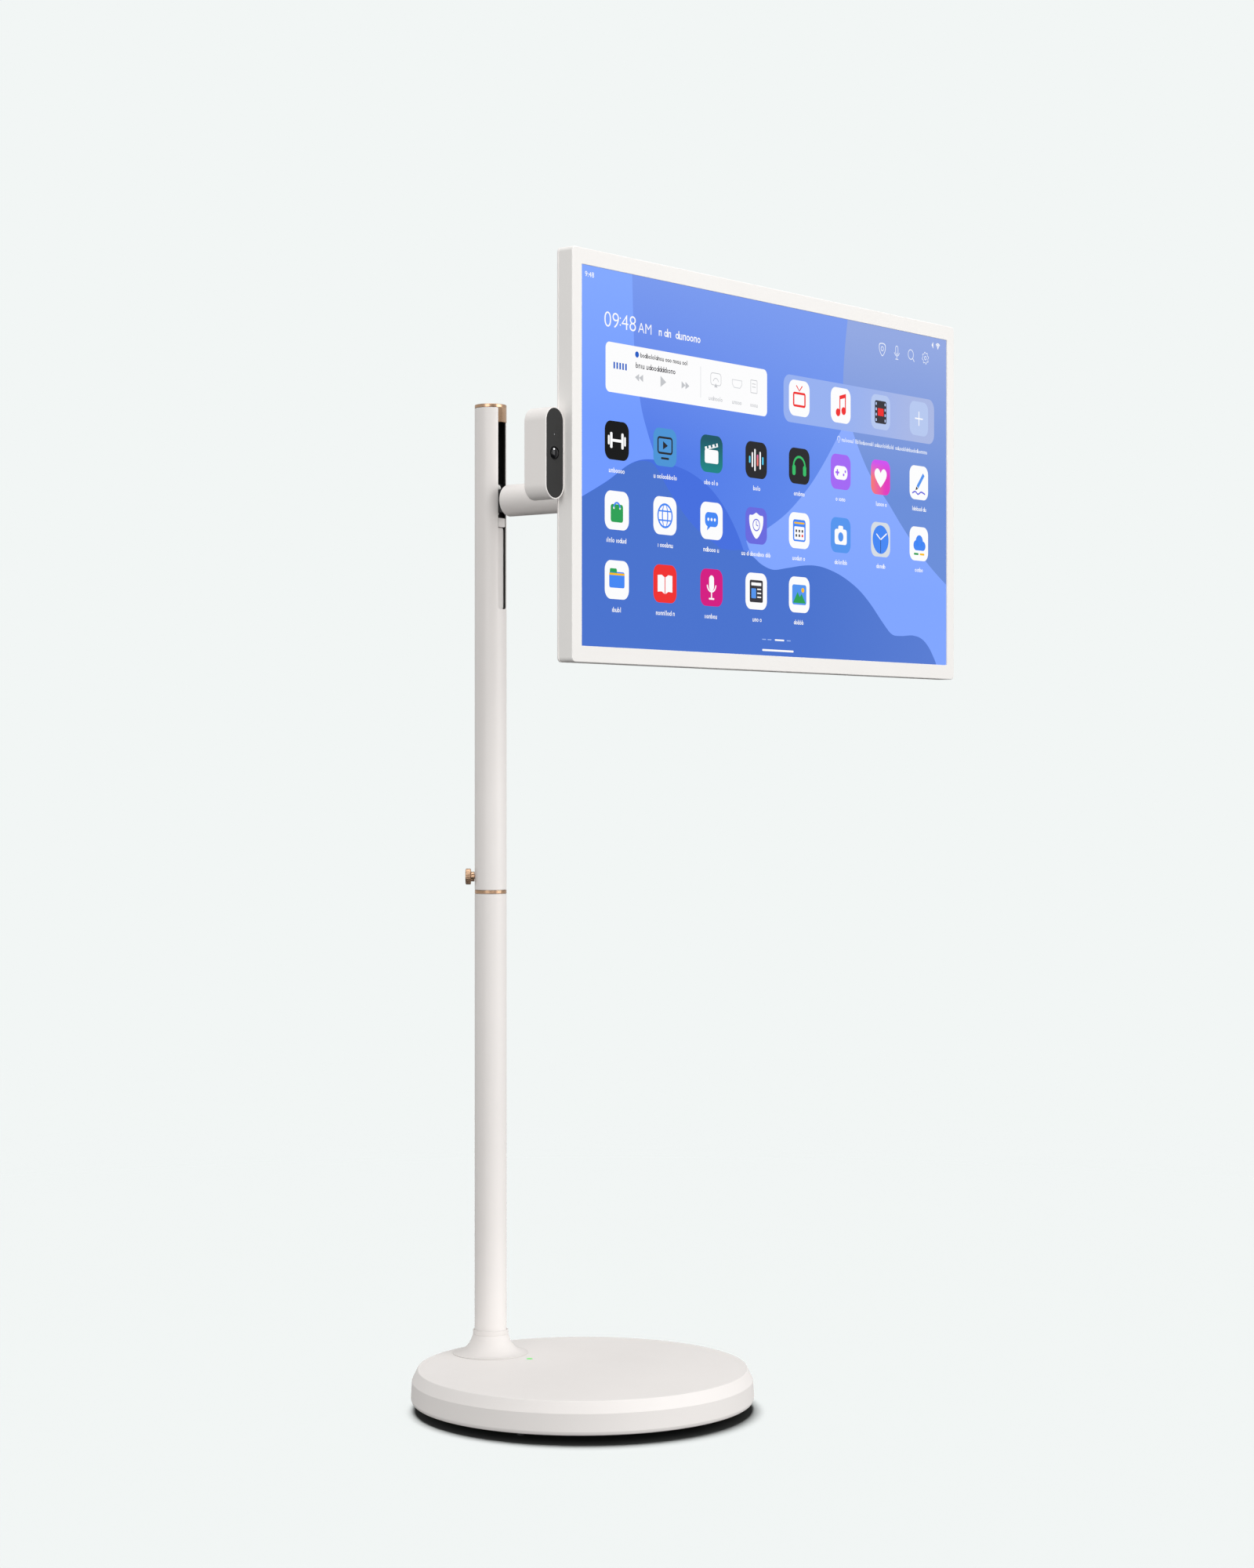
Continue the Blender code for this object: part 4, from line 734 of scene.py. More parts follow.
# ---- display ---------------------------------------------------------------------
def make_bezel():
    """The frame's white sides and rim, with openings for the buttons."""
    wall, lip, rim = 0.0022, 0.0018, (DISPLAY_W - WINDOW_W) / 2
    lean = (DISPLAY_H - WINDOW_H) / (DISPLAY_W - WINDOW_W)
    section = rounded([(0, FRAME_DEPTH, 0.0003), (0, 0, 0.0011), (rim, 0, 0.0004), (rim, lip, 0.0002),
                       (wall, lip, 0.0004), (wall, FRAME_DEPTH, 0.0002)], closed=True)
    rings = []
    for inset, depth in section:
        height = DISPLAY_H - 2 * inset * (lean if inset > wall * 1.2 else 1)
        outline = soft_rect(DISPLAY_W - 2 * inset, height, max(CORNER - inset, 0.0004), 10)
        rings.append([facing_y(u, v, depth, screen) for u, v in outline])
    shape = bmesh.new()
    skin(shape, rings, True)
    bezel = finish_piece("bezel_frame", shape, bezel_white)
    drill(bezel, *(opening_for(button, 0.0007, 0.010, 0.006, facing_x, screen.x + DISPLAY_W / 2)
                   for button in ("power_button", "volume_up_button", "volume_down_button")))
    put(bezel, "display", "white_plastic", "front_bezel")


def make_back():
    """The flat back with its raised middle, grilles, screws and socket opening."""
    plate, bump, bump_r, hole = (DISPLAY_W, DISPLAY_H), (0.4000, 0.2400), 0.0200, (0.0236, 0.0236)
    wall, plate_edge, foot_edge, bump_edge = 0.0024, 0.0012, 0.0030, 0.0042
    rings = [(plate, CORNER, 0, BACK_DEPTH)]
    rings += [(plate, CORNER, plate_edge * a, PLATE_DEPTH - plate_edge * b) for a, b in quarter(6)]
    rings += [(bump, bump_r, -foot_edge * b, PLATE_DEPTH + foot_edge * a) for a, b in quarter(6)]
    rings += [(bump, bump_r, bump_edge * a, BUMP_DEPTH - bump_edge * b) for a, b in quarter(8)]
    rings += [(hole, 1, -0.0003, BUMP_DEPTH), (hole, 1, 0, BUMP_DEPTH - 0.0003),
              (hole, 1, 0, BUMP_DEPTH - wall), (bump, bump_r, wall, BUMP_DEPTH - wall),
              (bump, bump_r, wall, BACK_DEPTH)]
    shape = bmesh.new()
    skin(shape, [inset_ring(*ring, screen, steps=10) for ring in rings], True)
    back = finish_piece("rear_cover", shape, white_plastic)
    grille_z, vents_z = -0.185, 0.094
    cutters = [plug((0.0024, 0.0200), 0.0012, 0.010, 0.040,
                    on_display(side * (0.200 + 0.010 * i), grille_z)) for side in (-1, 1)
               for i in range(8)]
    cutters += [plug((0.0036, 0.0150), 0.0018, BUMP_DEPTH - 0.0010, BUMP_DEPTH + 0.01,
                     on_display((i - 11.5) * 0.0115, vents_z)) for i in range(24)]
    cutters.append(opening_for("port_panel", 0.0006, 0.0012, 0.010, facing_x))
    spots = [on_display(x, z) for x in (-0.345, -0.16, 0.16, 0.345) for z in (-0.150, 0.150)]
    cutters += [bore(0.0036, PLATE_DEPTH - 0.0010, PLATE_DEPTH + 0.004, spot, Y, 40, 0.0042)
                for spot in spots]
    drill(back, *cutters)
    put(back, "display", "white_plastic", "back_cover")
    head = [(0, -0.0008), (0.0010, -0.0008), (0.0012, -0.0001), (0.0028, -0.0002), (0.0031, -0.0007),
            (0.0031, -0.0009), (0, -0.0009)]
    heads("rear_screws", "display", ([(r, PLATE_DEPTH + depth) for r, depth in head], 0.0002, 3), spots,
          brushed)
    cloth = [pad("cloth", (0.078, 0.023), 0.002, 0.01835, BACK_DEPTH - 0.0001, 0.0001, slot_black,
                 on_display(side * 0.235, grille_z)) for side in (-1, 1)]
    put(merge("speaker_cloth", cloth), "display", "black_plastic")


def make_ports():
    """The metal shells and contact tongues of the sockets."""
    low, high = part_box("port_panel")
    rim, deep = 0.0004, -0.0105
    section = [(0, deep), (0, 0.0), (rim, 0.0), (rim, deep)]
    shells, tongues = [], []
    for along, long, thin in ((0.0180, 0.0152, 0.0056), (-0.0010, 0.0132, 0.0056),
                              (-0.0170, 0.0090, 0.0032)):
        at = (high.x, (low.y + high.y) / 2, (low.z + high.z) / 2 + along)
        shells.append(shell("socket", section, (thin - 0.0001, long - 0.0001),
                            0.0006 if thin > 0.004 else thin / 2, brushed, at, facing_x, 6, True))
        tongues.append(pad("tongue", (thin * 0.28, long * 0.62), 0.0003, -0.0112, -0.0020, 0.0002,
                           black_plastic, at, facing_x))
    put(merge("socket_shells", shells), "display", "steel")
    put(merge("socket_tongues", tongues), "display", "black_plastic")


# ---- camera ----------------------------------------------------------------------
def make_camera():
    """The pill-shaped housing, its dark window, and the lens under it."""
    low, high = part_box("camera_shell")
    centre = ((low.x + high.x) / 2, low.y, (low.z + high.z) / 2)
    width, height, depth = high.x - low.x, high.z - low.z, high.y - low.y
    core, rim, step = width / 2 - 0.0002, 0.0013, 0.0022
    section = rounded([(core, depth), (0, depth, 0.0014), (0, 0, 0.0007), (rim, 0, 0.0003),
                       (rim, step, 0.0001), (0.003, step, 0.0001), (0.003, depth - 0.0025, 0.0004),
                       (core, depth - 0.0025)], steps=6)
    put(shell("camera_housing", section, (width, height), width / 2, white_plastic, centre, steps=24),
        "camera", "white_plastic", "camera_shell")
    low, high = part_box("camera_face")
    face = pad("camera_window", (high.x - low.x, high.z - low.z), 1, low.y - centre[1],
               high.y - centre[1], 0.0005, face_grey, centre, steps=24)
    lens_r, dot_r = 0.0068, 0.0009
    dot_at = (centre[0], centre[1], centre[2] + 0.0193)
    drill(face, bore(lens_r + 0.0003, -0.005, 0.005, centre, Y, 64),
          bore(dot_r + 0.0001, -0.005, 0.0009, dot_at))
    put(face, "camera", "camera_face", "camera_face")
    dot = rounded([(0, 0.0007), (dot_r, 0.0007), (dot_r, 0.00088), (0, 0.00088)], 0.0001, 2)
    put(turned("camera_status_dot", dot, wheel_grey, dot_at, Y, 32), "camera", "camera_face")
    ring_r, deep, fine = lens_r - 0.0006, 0.0060, 0.0001
    ring = rounded([(lens_r, deep), (lens_r, -0.0001, fine), (lens_r - 0.0003, -0.0003, fine),
                    (ring_r, -0.0001, fine), (ring_r, deep)], steps=4, closed=True)
    put(turned("camera_lens_ring", ring, lens_ring, centre, Y, 96, True), "camera", "lens")
    dome_r, front, rise = lens_r - 0.0007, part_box("camera_lens")[0].y - centre[1], 0.0022
    turns = [radians(90) * i / 14 for i in range(15)]
    dome = [(dome_r * sin(a), front + rise * (1 - cos(a)))
            for a in turns] + [(dome_r, 0.0080), (0, 0.0080)]
    put(turned("camera_lens_dome", dome, lens_glass, centre, Y, 96), "camera", "lens", "camera_lens")


for make in (make_base, make_feet, make_collar, make_pole, make_cap, make_knob, make_slide, make_arm,
             make_bezel, make_back, make_ports, make_camera):
    make()


# ---- the picture on the screen ---------------------------------------------------
# Places on the screen are in millimetres from its centre, x to the right and z up.
glass_low, glass_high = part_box("screen_glass")
LAYER = 0.00005                         # the step in depth from one level of the picture to the next
LAYER_THICK = LAYER * 0.7
HALF_W, HALF_H = WINDOW_W / MM / 2 + 1.5, WINDOW_H / MM / 2 + 1.5
PALETTE = {}


def at_x(mm):
    return screen.x + mm * MM


def at_z(mm):
    return screen.z + mm * MM


def paint(name, rgb, across=None, up=None):
    """Adds a lit colour. across and up are (colour, start, end) that it fades to."""
    fades = [(axis, srgb(*fade[0]), place(fade[1]), place(fade[2]))
             for axis, place, fade in (("X", at_x, across), ("Z", at_z, up)) if fade]
    PALETTE[name] = lit("lit_" + name, srgb(*rgb), fades)


paint("mid", (76, 120, 232), ((98, 140, 236), -230, 150), ((126, 158, 240), 10, 230))
paint("left", (112, 154, 255), up=((130, 168, 255), 40, 190))
# The sky's right part turns pale and greyish towards the top: a painted reflection on the screen's glass.
paint("right", (104, 140, 216), up=((146, 168, 226), 0, 190))
paint("hill", (70, 113, 206), ((84, 122, 210), 60, 330))
paint("peak", (126, 164, 255), up=((140, 172, 255), -120, 80))
paint("teal", (22, 132, 132), up=((20, 84, 100), 2, 36))
paint("rose", (226, 54, 190), ((246, 120, 110), 220, 190), ((206, 80, 240), 19.9, 38))
paint("panel", (150, 176, 240), ((170, 184, 228), 130, 300))
for name, rgb in {"valley": (66, 109, 222), "white": (252, 252, 253), "black": (6, 6, 8),
                  "ink": (34, 34, 38), "slate": (52, 50, 58), "sky": (74, 148, 214),
                  "green": (52, 190, 104), "purple": (162, 102, 244), "indigo": (104, 104, 222),
                  "blue": (66, 134, 244), "cobalt": (30, 92, 196), "azure": (82, 148, 238),
                  "silver": (214, 220, 228), "red": (240, 44, 44), "magenta": (212, 12, 128),
                  "yellow": (250, 190, 20), "leaf": (40, 160, 84), "grey": (196, 198, 202),
                  "line": (216, 218, 222), "cyan": (84, 208, 250), "panel_tile": (182, 200, 240),
                  "dim": (150, 178, 236), "soft_white": (236, 241, 252)}.items():
    paint(name, rgb)


def circle(x, z, radius, sides=36, tall=None):
    """A circle, or an ellipse that is tall / radius times as high as it is wide."""
    turns = [2 * pi * k / sides for k in range(sides)]
    return [(x + radius * cos(a), z + (tall or radius) * sin(a)) for a in turns]


def curve(points, steps=8):
    """A smooth line through points."""
    pts = [Vector(points[0])] + [Vector(p) for p in points] + [Vector(points[-1])]
    out = []
    for a, b, c, d in zip(pts, pts[1:], pts[2:], pts[3:]):
        for k in range(steps):
            t = k / steps
            out.append(tuple(0.5 * (2 * b + (c - a) * t + (2 * a - 5 * b + 4 * c - d) * t * t
                                    + (3 * b - a - 3 * c + d) * t ** 3)))
    out.append(tuple(pts[-1]))
    return out


def shrunk(outline, x, z, across, up):
    return [(x + (u - x) * across, z + (v - z) * up) for u, v in outline]


class Layer:
    """Thin closed shapes at one level of the picture, in one mesh. Places are from its origin."""

    def __init__(self, name, level):
        self.name, self.shape, self.colours = name, bmesh.new(), []
        self.front = glass_low.y - level * LAYER
        self.back = self.front + LAYER_THICK
        self.origin = (0, 0)

    def prism(self, outline, colour, hole=None):
        """A flat outline, or the band between it and a second one of the same count."""
        if colour not in self.colours:
            self.colours.append(colour)
        x, z = self.origin
        loops = [[self.shape.verts.new((at_x(x + u), depth, at_z(z + v))) for u, v in line]
                 for line in ([outline, hole] if hole else [outline])
                 for depth in (self.front, self.back)]

        def band(a, b):
            return [(a[i - 1], a[i], b[i], b[i - 1]) for i in range(len(a))]

        front, back = loops[:2]
        faces = band(front, back)
        if hole:
            faces += band(front, loops[2]) + band(back, loops[3]) + band(loops[2], loops[3])
        else:
            faces += [front, back]
        for face in faces:
            self.shape.faces.new(face).material_index = self.colours.index(colour)

    def rect(self, x, z, width, height, colour, radius=0.0, steps=4):
        outline = soft_rect(width, height, max(radius, 0.001), steps if radius else 1)
        self.prism([(x + u, z + v) for u, v in outline], colour)

    def frame(self, x, z, width, height, line, colour, radius=2.0):
        outer, inner = (soft_rect(width - 2 * inset, height - 2 * inset, radius - inset, 5)
                        for inset in (0, line))
        self.prism([(x + u, z + v) for u, v in outer], colour, [(x + u, z + v) for u, v in inner])

    def disc(self, x, z, radius, colour, sides=36):
        self.prism(circle(x, z, radius, sides), colour)

    def ring(self, x, z, radius, width, colour, sides=40):
        self.prism(circle(x, z, radius, sides), colour, circle(x, z, radius - width, sides))

    def stroke(self, points, width, colour):
        """A line of even width with round ends."""
        left, right, pts = [], [], [Vector(p) for p in points]
        for i, p in enumerate(pts):
            along = (pts[min(i + 1, len(pts) - 1)] - pts[max(i - 1, 0)]).normalized()
            side = Vector((-along.y, along.x)) * width / 2
            left.append(tuple(p + side))
            right.append(tuple(p - side))

        def end(at, before):
            out = (at - before).normalized()
            return [tuple(at + width / 2 * (out * cos(a) + Vector((-out.y, out.x)) * sin(a)))
                    for a in (radians(60), 0, radians(-60))]

        self.prism(left + end(pts[-1], pts[-2]) + right[::-1] + end(pts[0], pts[1]), colour)

    def arc(self, x, z, radius, start, stop, width, colour, steps=16):
        turns = [radians(start + (stop - start) * k / steps) for k in range(steps + 1)]
        self.stroke([(x + radius * cos(a), z + radius * sin(a)) for a in turns], width, colour)

    def done(self, *replaced):
        made = finish_piece(self.name, self.shape, [PALETTE[c] for c in self.colours], 30)
        put(made, "display", "display_glass", *replaced)


def wallpaper():
    """Hills in front of a sky, as overlapping outlines."""
    ground = Layer("picture_ground", 0)
    ground.back = glass_high.y
    ground.rect(0, 0, 2 * HALF_W, 2 * HALF_H, "mid", 1.0, 2)
    ground.done("screen_glass")
    far = Layer("picture_far", 1)
    edge = curve([(-267, HALF_H), (-265, 150), (-262, 110), (-252, 62), (-241, 35), (-230, 14),
                  (-219, -8)])
    far.prism([(-HALF_W, HALF_H), (-HALF_W, -60)] + edge[::-1], "left")
    edge = curve([(141, HALF_H), (135, 165), (131.5, 127), (133, 105), (142, 78), (176, 30), (215, -8),
                  (262, -40), (311, -76), (HALF_W, -101)])
    # The right part of the sky carries the painted reflection.
    far.prism([(HALF_W, HALF_H)] + edge, "right")
    far.done()
    near = Layer("picture_hills", 2)
    edge = curve([(-HALF_W, -45), (-310, -24), (-269, -2), (-235, 5), (-195, 2), (-160, -5), (-125, -20),
                  (-95, -44), (-70, -76), (-55, -110), (-50, -150), (-50, -HALF_H)])
    near.prism([(-HALF_W, -HALF_H)] + edge, "valley")
    near.done()
    front = Layer("picture_peak", 3)
    edge = curve([(-HALF_W, -45.4), (-310, -24.4), (-269, -2.4), (-240, 2.5), (-224, -4), (-204, -25),
                  (-178, -48), (-150, -66), (-112, -82), (-75, -100), (-55, -120), (-50, -150),
                  (-50, -HALF_H)])
    front.prism([(-HALF_W, -HALF_H)] + edge, "hill")
    front.done()
    peak = Layer("picture_slope", 4)
    flank = curve([(143, 86), (125, 66), (94, 30), (62, -2), (20, -34), (-22, -56), (-61, -72)])
    under = curve([(-61, -72), (-52, -86), (-40, -95), (-14, -106), (40, -112), (160, -150),
                   (250, -HALF_H)])
    slope = curve([(HALF_W, -101), (311, -75.6), (262, -39.6), (226, -9), (187, 22), (157, 60),
                   (143, 86)])
    peak.prism(flank + under[1:] + [(HALF_W, -HALF_H)] + slope[:-1], "peak")
    peak.done()
    wave = Layer("picture_wave", 5)
    crest = curve([(-120, -83), (-92, -84), (-66, -83), (-48, -89), (-31, -97), (-9, -101.5), (19, -98),
                   (50, -93.6), (75, -92.4), (100, -95), (131, -102.5), (163, -115.5), (189, -132),
                   (214, -152), (234, -165.5), (254, -167), (280, -165.5), (300, -169), (316, -179),
                   (330, -195), (333, -HALF_H)])
    wave.prism([(-120, -HALF_H)] + crest, "hill")
    wave.done()


writer = random.Random(7)


def squiggle(layer, x0, x1, z, height, colour):
    """A line of made-up letter shapes, which spells nothing."""
    x, line, low = x0, height * 0.15, height * 0.66
    while x < x1 - height * 0.35:
        kind = writer.choice("oonliubdo ")
        wide = height * 0.55
        if kind == " ":
            x += height * 0.4
            continue
        if kind in "obd":
            layer.ring(x + wide / 2, z + low / 2, low / 2, line, colour, 10)
        if kind == "b":
            layer.rect(x + line / 2, z + height / 2, line, height, colour)
        if kind == "d":
            layer.rect(x + low - line / 2, z + height / 2, line, height, colour)
        if kind in "li":
            tall = height if kind == "l" else low
            layer.rect(x + line, z + tall / 2, line, tall, colour)
            wide = line * 1.6
        if kind in "nu":
            layer.rect(x + line / 2, z + low / 2, line, low, colour)
            layer.rect(x + wide - line / 2, z + low / 2, line, low, colour)
            layer.rect(x + wide / 2, z + (low - line / 2 if kind == "n" else line / 2), wide, line,
                       colour)
        x += wide + height * 0.17


# Plain generic pictures for the app tiles. Each is drawn about its tile's centre, m below t.
def dumbbell(m, t):
    m.stroke([(-8, 0), (8, 0)], 3.0, "white")
    for s in (-1, 1):
        m.rect(s * 9.5, 0, 4, 17, "white", 1.6)
        m.rect(s * 13.8, 0, 3, 10, "white", 1.3)


def play_screen(m, t):
    m.frame(0, 2, 27, 19, 2.2, "ink", 4)
    m.prism([(-3.5, -2.5), (5, 2), (-3.5, 6.5)], "ink")
    m.stroke([(-6, -12), (6, -12)], 2.2, "ink")


def clapper_board(m, t):
    m.rect(0, -3, 25, 15, "white", 2.5)
    m.prism([(-12.5, 7), (11, 12.5), (12, 8.6), (-11.6, 3.2)], "white")
    for u, v in ((0, 0), (7, 1.6), (14, 3.2)):
        t.prism([(u - 8, v + 5.1), (u - 5, v + 5.8), (u - 6.2, v + 9.2), (u - 9.2, v + 8.5)], "teal")


def sound_bars(m, t):
    colours = ("cyan", "white", "white", "rose", "white", "cyan")
    for k, (high, colour) in enumerate(zip((8, 17, 25, 13, 20, 9), colours)):
        m.rect(-12.5 + 5 * k, 0, 2.6, high, colour, 1.3)


def headphones(m, t):
    m.arc(0, -1, 11.5, 0, 180, 2.6, "green", 20)
    for s in (-1, 1):
        m.rect(s * 10.6, -5, 6.4, 12, "green", 2.8)


def game_pad(m, t):
    m.rect(0, -1, 28, 16, "white", 7.5, 6)
    t.rect(-7, -1, 7.5, 2.4, "purple", 0.5)
    t.rect(-7, -1, 2.4, 7.5, "purple", 0.5)
    t.disc(6, -3, 1.6, "purple")
    t.disc(9.5, 1, 1.6, "purple")


def heart(m, t):
    half = [(0, -12), (6.5, -6.2), (12, 0.4), (12.6, 6.2), (8.6, 10), (3.8, 9.4), (0, 5.2)]
    m.prism(curve(half, 5) + curve([(-u, v) for u, v in half[::-1]], 5)[1:-1], "white")


def pencil(m, t):
    m.prism([(-5, -4), (9, 12), (12.5, 9), (-1.5, -7)], "azure")
    m.prism([(-5.4, -4.6), (-2, -7.6), (-7.6, -9.4)], "ink")
    m.stroke(curve([(-14, -13), (-8, -11), (-2, -14), (5, -11), (13, -13)], 5), 1.8, "indigo")


def shopping_bag(m, t):
    m.rect(0, -3, 21, 19, "leaf", 3)
    t.arc(0, 3, 5.2, 0, 180, 2.0, "blue")
    t.disc(-5.2, 2.6, 1.3, "white")
    t.disc(5.2, 2.6, 1.3, "white")


def globe(m, t):
    m.ring(0, 0, 13.5, 2.2, "blue")
    m.prism(circle(0, 0, 5.6, 32, 12.4), "blue", circle(0, 0, 3.8, 32, 12.4))
    t.rect(0, 5, 21.5, 1.6, "blue")
    t.rect(0, -5, 21.5, 1.6, "blue")


def speech_bubble(m, t):
    m.rect(0, 1.5, 24, 16, "blue", 6, 6)
    m.prism([(-7, -5), (-8.5, -11), (-0.5, -5.5)], "blue")
    for u in (-6, 0, 6):
        t.disc(u, 1.5, 1.8, "white", 20)


def shield_with_clock(m, t):
    m.prism(curve([(0, 15), (7, 12), (13, 11), (12.6, 1), (8, -8), (0, -14.5), (-8, -8), (-12.6, 1),
                   (-13, 11), (-7, 12), (0, 15)], 5)[:-1], "white")
    t.ring(0, 1, 7.0, 1.3, "indigo")
    t.stroke([(0, 5), (0, 1), (3, 0.2)], 1.3, "indigo")


def calendar(m, t):
    m.rect(0, 0, 25, 25, "blue", 3.5)
    t.rect(0, -3, 20, 15, "white", 1.2)
    t.rect(0, 8.6, 20, 2.0, "yellow", 0.8)


def photo_camera(m, t):
    m.rect(0, -2, 25, 18, "white", 3.5)
    m.rect(0, 8, 10, 6, "white", 2)
    t.disc(0, -2, 5.4, "azure")


def clock(m, t):
    m.disc(0, 0, 17.0, "blue", 48)
    t.stroke([(-8.5, 6), (0, 0), (12.5, 7.5)], 1.7, "white")
    t.stroke([(0, 0), (0, -15.5)], 0.9, "ink")


def cloud(m, t):
    m.disc(-6, -2, 6, "blue")
    m.disc(1, 2.5, 8, "blue")
    m.disc(9, -2.4, 5.6, "blue")
    t.rect(1.2, -5.6, 21, 5, "blue", 2.4)
    t.stroke([(-10, -12.5), (-2, -12.5)], 2.4, "leaf")
    t.stroke([(3, -12.5), (11, -12.5)], 2.4, "yellow")


def folder(m, t):
    m.rect(-6, 8.5, 12, 7, "leaf", 1.8)
    m.rect(0, 0, 26, 17, "blue", 2.4)
    t.rect(0, 6, 26, 2.2, "yellow", 0.6)


def open_book(m, t):
    for s in (-1, 1):
        m.prism([(s * 0.7, 7), (s * 6, 9.6), (s * 13, 9), (s * 13, -9), (s * 6, -8.4), (s * 0.7, -11)],
                "white")


def microphone(m, t):
    m.rect(0, 5, 9, 17, "white", 4.5, 8)
    m.arc(0, 3.5, 8, 190, 350, 1.9, "white")
    m.rect(0, -8.5, 1.9, 7, "white")
    m.rect(0, -12.4, 10, 1.9, "white", 0.9)


def newspaper(m, t):
    m.rect(0, 0, 25, 25, "slate", 2.0)
    t.rect(0, 8, 19, 3.4, "white", 0.6)
    t.rect(-5, -2.5, 9, 11, "azure", 0.8)


def hill_picture(m, t):
    m.rect(0, 0, 28, 23, "azure", 3.0)
    t.prism([(-12.5, -9.5), (-3.5, 3), (0.8, -2.6), (4.4, 1), (12.5, -9.5)], "leaf")
    t.disc(7, 5.4, 2.8, "yellow", 24)


TILE, TILE_R = 41.0, 10.0
COLUMNS = (-293.5, -210.0, -126.0, -42.0, 42.0, 126.0, 210.0, 293.5)
# Each row's height, and its tiles' colours, pictures and label widths.
ROWS = (
    (19.9, (("black", dumbbell, 27), ("sky", play_screen, 40), ("teal", clapper_board, 27),
            ("ink", sound_bars, 20), ("ink", headphones, 21), ("purple", game_pad, 20), ("rose", heart, 29),
            ("white", pencil, 34))),
    (-54.0, (("white", shopping_bag, 36), ("white", globe, 26), ("white", speech_bubble, 30),
             ("indigo", shield_with_clock, 56), ("white", calendar, 27), ("azure", photo_camera, 25),
             ("silver", clock, 18), ("white", cloud, 17))),
    (-127.5, (("white", folder, 17), ("red", open_book, 32), ("magenta", microphone, 26),
              ("white", newspaper, 18), ("white", hill_picture, 21))),
)


def app_grid(b, m, t):
    """Every app tile with its picture, and then a line of made-up letters under each one."""
    for z, tiles in ROWS:
        for x, (colour, picture, _) in zip(COLUMNS, tiles):
            b.rect(x, z, TILE, TILE, colour, TILE_R, 8)
            m.origin = t.origin = (x, z)
            picture(m, t)
    m.origin = t.origin = (0, 0)
    for z, tiles in ROWS:
        for x, (_, _, width) in zip(COLUMNS, tiles):
            squiggle(m, x - width / 2, x + width / 2, z - 34.2, 5.4, "white")


def media_card(b, m):
    """The white card at the upper left, with a title, player marks and three small pictures."""
    x0, x1, z0, z1 = -312.6, -21.2, 70.6, 123.5
    b.rect((x0 + x1) / 2, (z0 + z1) / 2, x1 - x0, z1 - z0, "white", 6.5, 8)
    for k in range(5):
        m.rect(-298 + 5.0 * k, 99.5, 2.6, 7.0, "cobalt")
    m.disc(-259, 115, 3.3, "cobalt", 24)
    squiggle(m, -253, -166, 112.6, 5.2, "ink")
    squiggle(m, -261, -190, 100.6, 6.2, "slate")
    for x in (-262.5, -255.5):
        m.prism([(x, 90.5), (x + 7, 94.5), (x + 7, 86.5)], "grey")
    m.prism([(-218, 84.5), (-218, 96.5), (-208, 90.5)], "grey")
    for x in (-180.5, -173.5):
        m.prism([(x, 86.5), (x, 94.5), (x + 7, 90.5)], "grey")
    m.rect(-146, 97, 0.7, 34, "line")
    for x, wide in ((-118, 26), (-78.5, 18), (-46.5, 14)):
        squiggle(m, x - wide / 2, x + wide / 2, 79.0, 5.0, "grey")
    m.frame(-118, 103, 20, 14, 0.8, "grey", 4)
    m.arc(-118, 99, 5.0, 20, 160, 0.8, "grey")
    m.prism([(-121, 94), (-118, 98.5), (-115, 94)], "grey")
    m.prism([(-88, 106.5), (-69, 106.5), (-69, 101), (-73, 97), (-84, 97), (-88, 101)], "line",
            [(-87, 105.6), (-70, 105.6), (-70, 101.4), (-73.4, 98), (-83.6, 98), (-87, 101.4)])
    m.frame(-46.5, 102, 13, 15, 0.8, "grey", 1.4)
    m.rect(-46.5, 105, 7, 0.8, "grey")
    m.rect(-46.5, 101.5, 7, 0.8, "grey")


def shelf(b, m, t):
    """The translucent panel at the right: a television, a musical note, a film strip and a plus sign."""
    tv, note, film, plus = COLUMNS[4:]
    z = 97.5
    b.rect(169.2, 95.9, 316.6, 54.2, "panel", 12, 8)
    for x, colour in zip(COLUMNS[4:], ("white", "white", "panel_tile", "panel_tile")):
        m.rect(x, z, TILE, TILE, colour, TILE_R, 8)
    t.frame(tv, z - 1.6, 25, 17, 2.6, "red", 3)
    t.stroke([(tv - 5.5, z + 14), (tv, z + 8.4), (tv + 5.5, z + 14)], 1.6, "red")
    t.disc(note - 5.5, z - 8.5, 4.6, "red", 24)
    t.disc(note + 6.0, z - 6.0, 4.6, "red", 24)
    t.rect(film, z, 25, 27, "slate", 3)
    t.rect(plus, z, 17.5, 1.6, "white", 0.5)
    t.rect(plus, z, 1.6, 17.5, "white", 0.5)
    squiggle(m, 128, 313, 55.6, 5.0, "soft_white")
    m.arc(122, 58.5, 2.8, -60, 240, 0.7, "soft_white", 12)
    m.rect(122, 54.4, 2.2, 0.8, "soft_white")


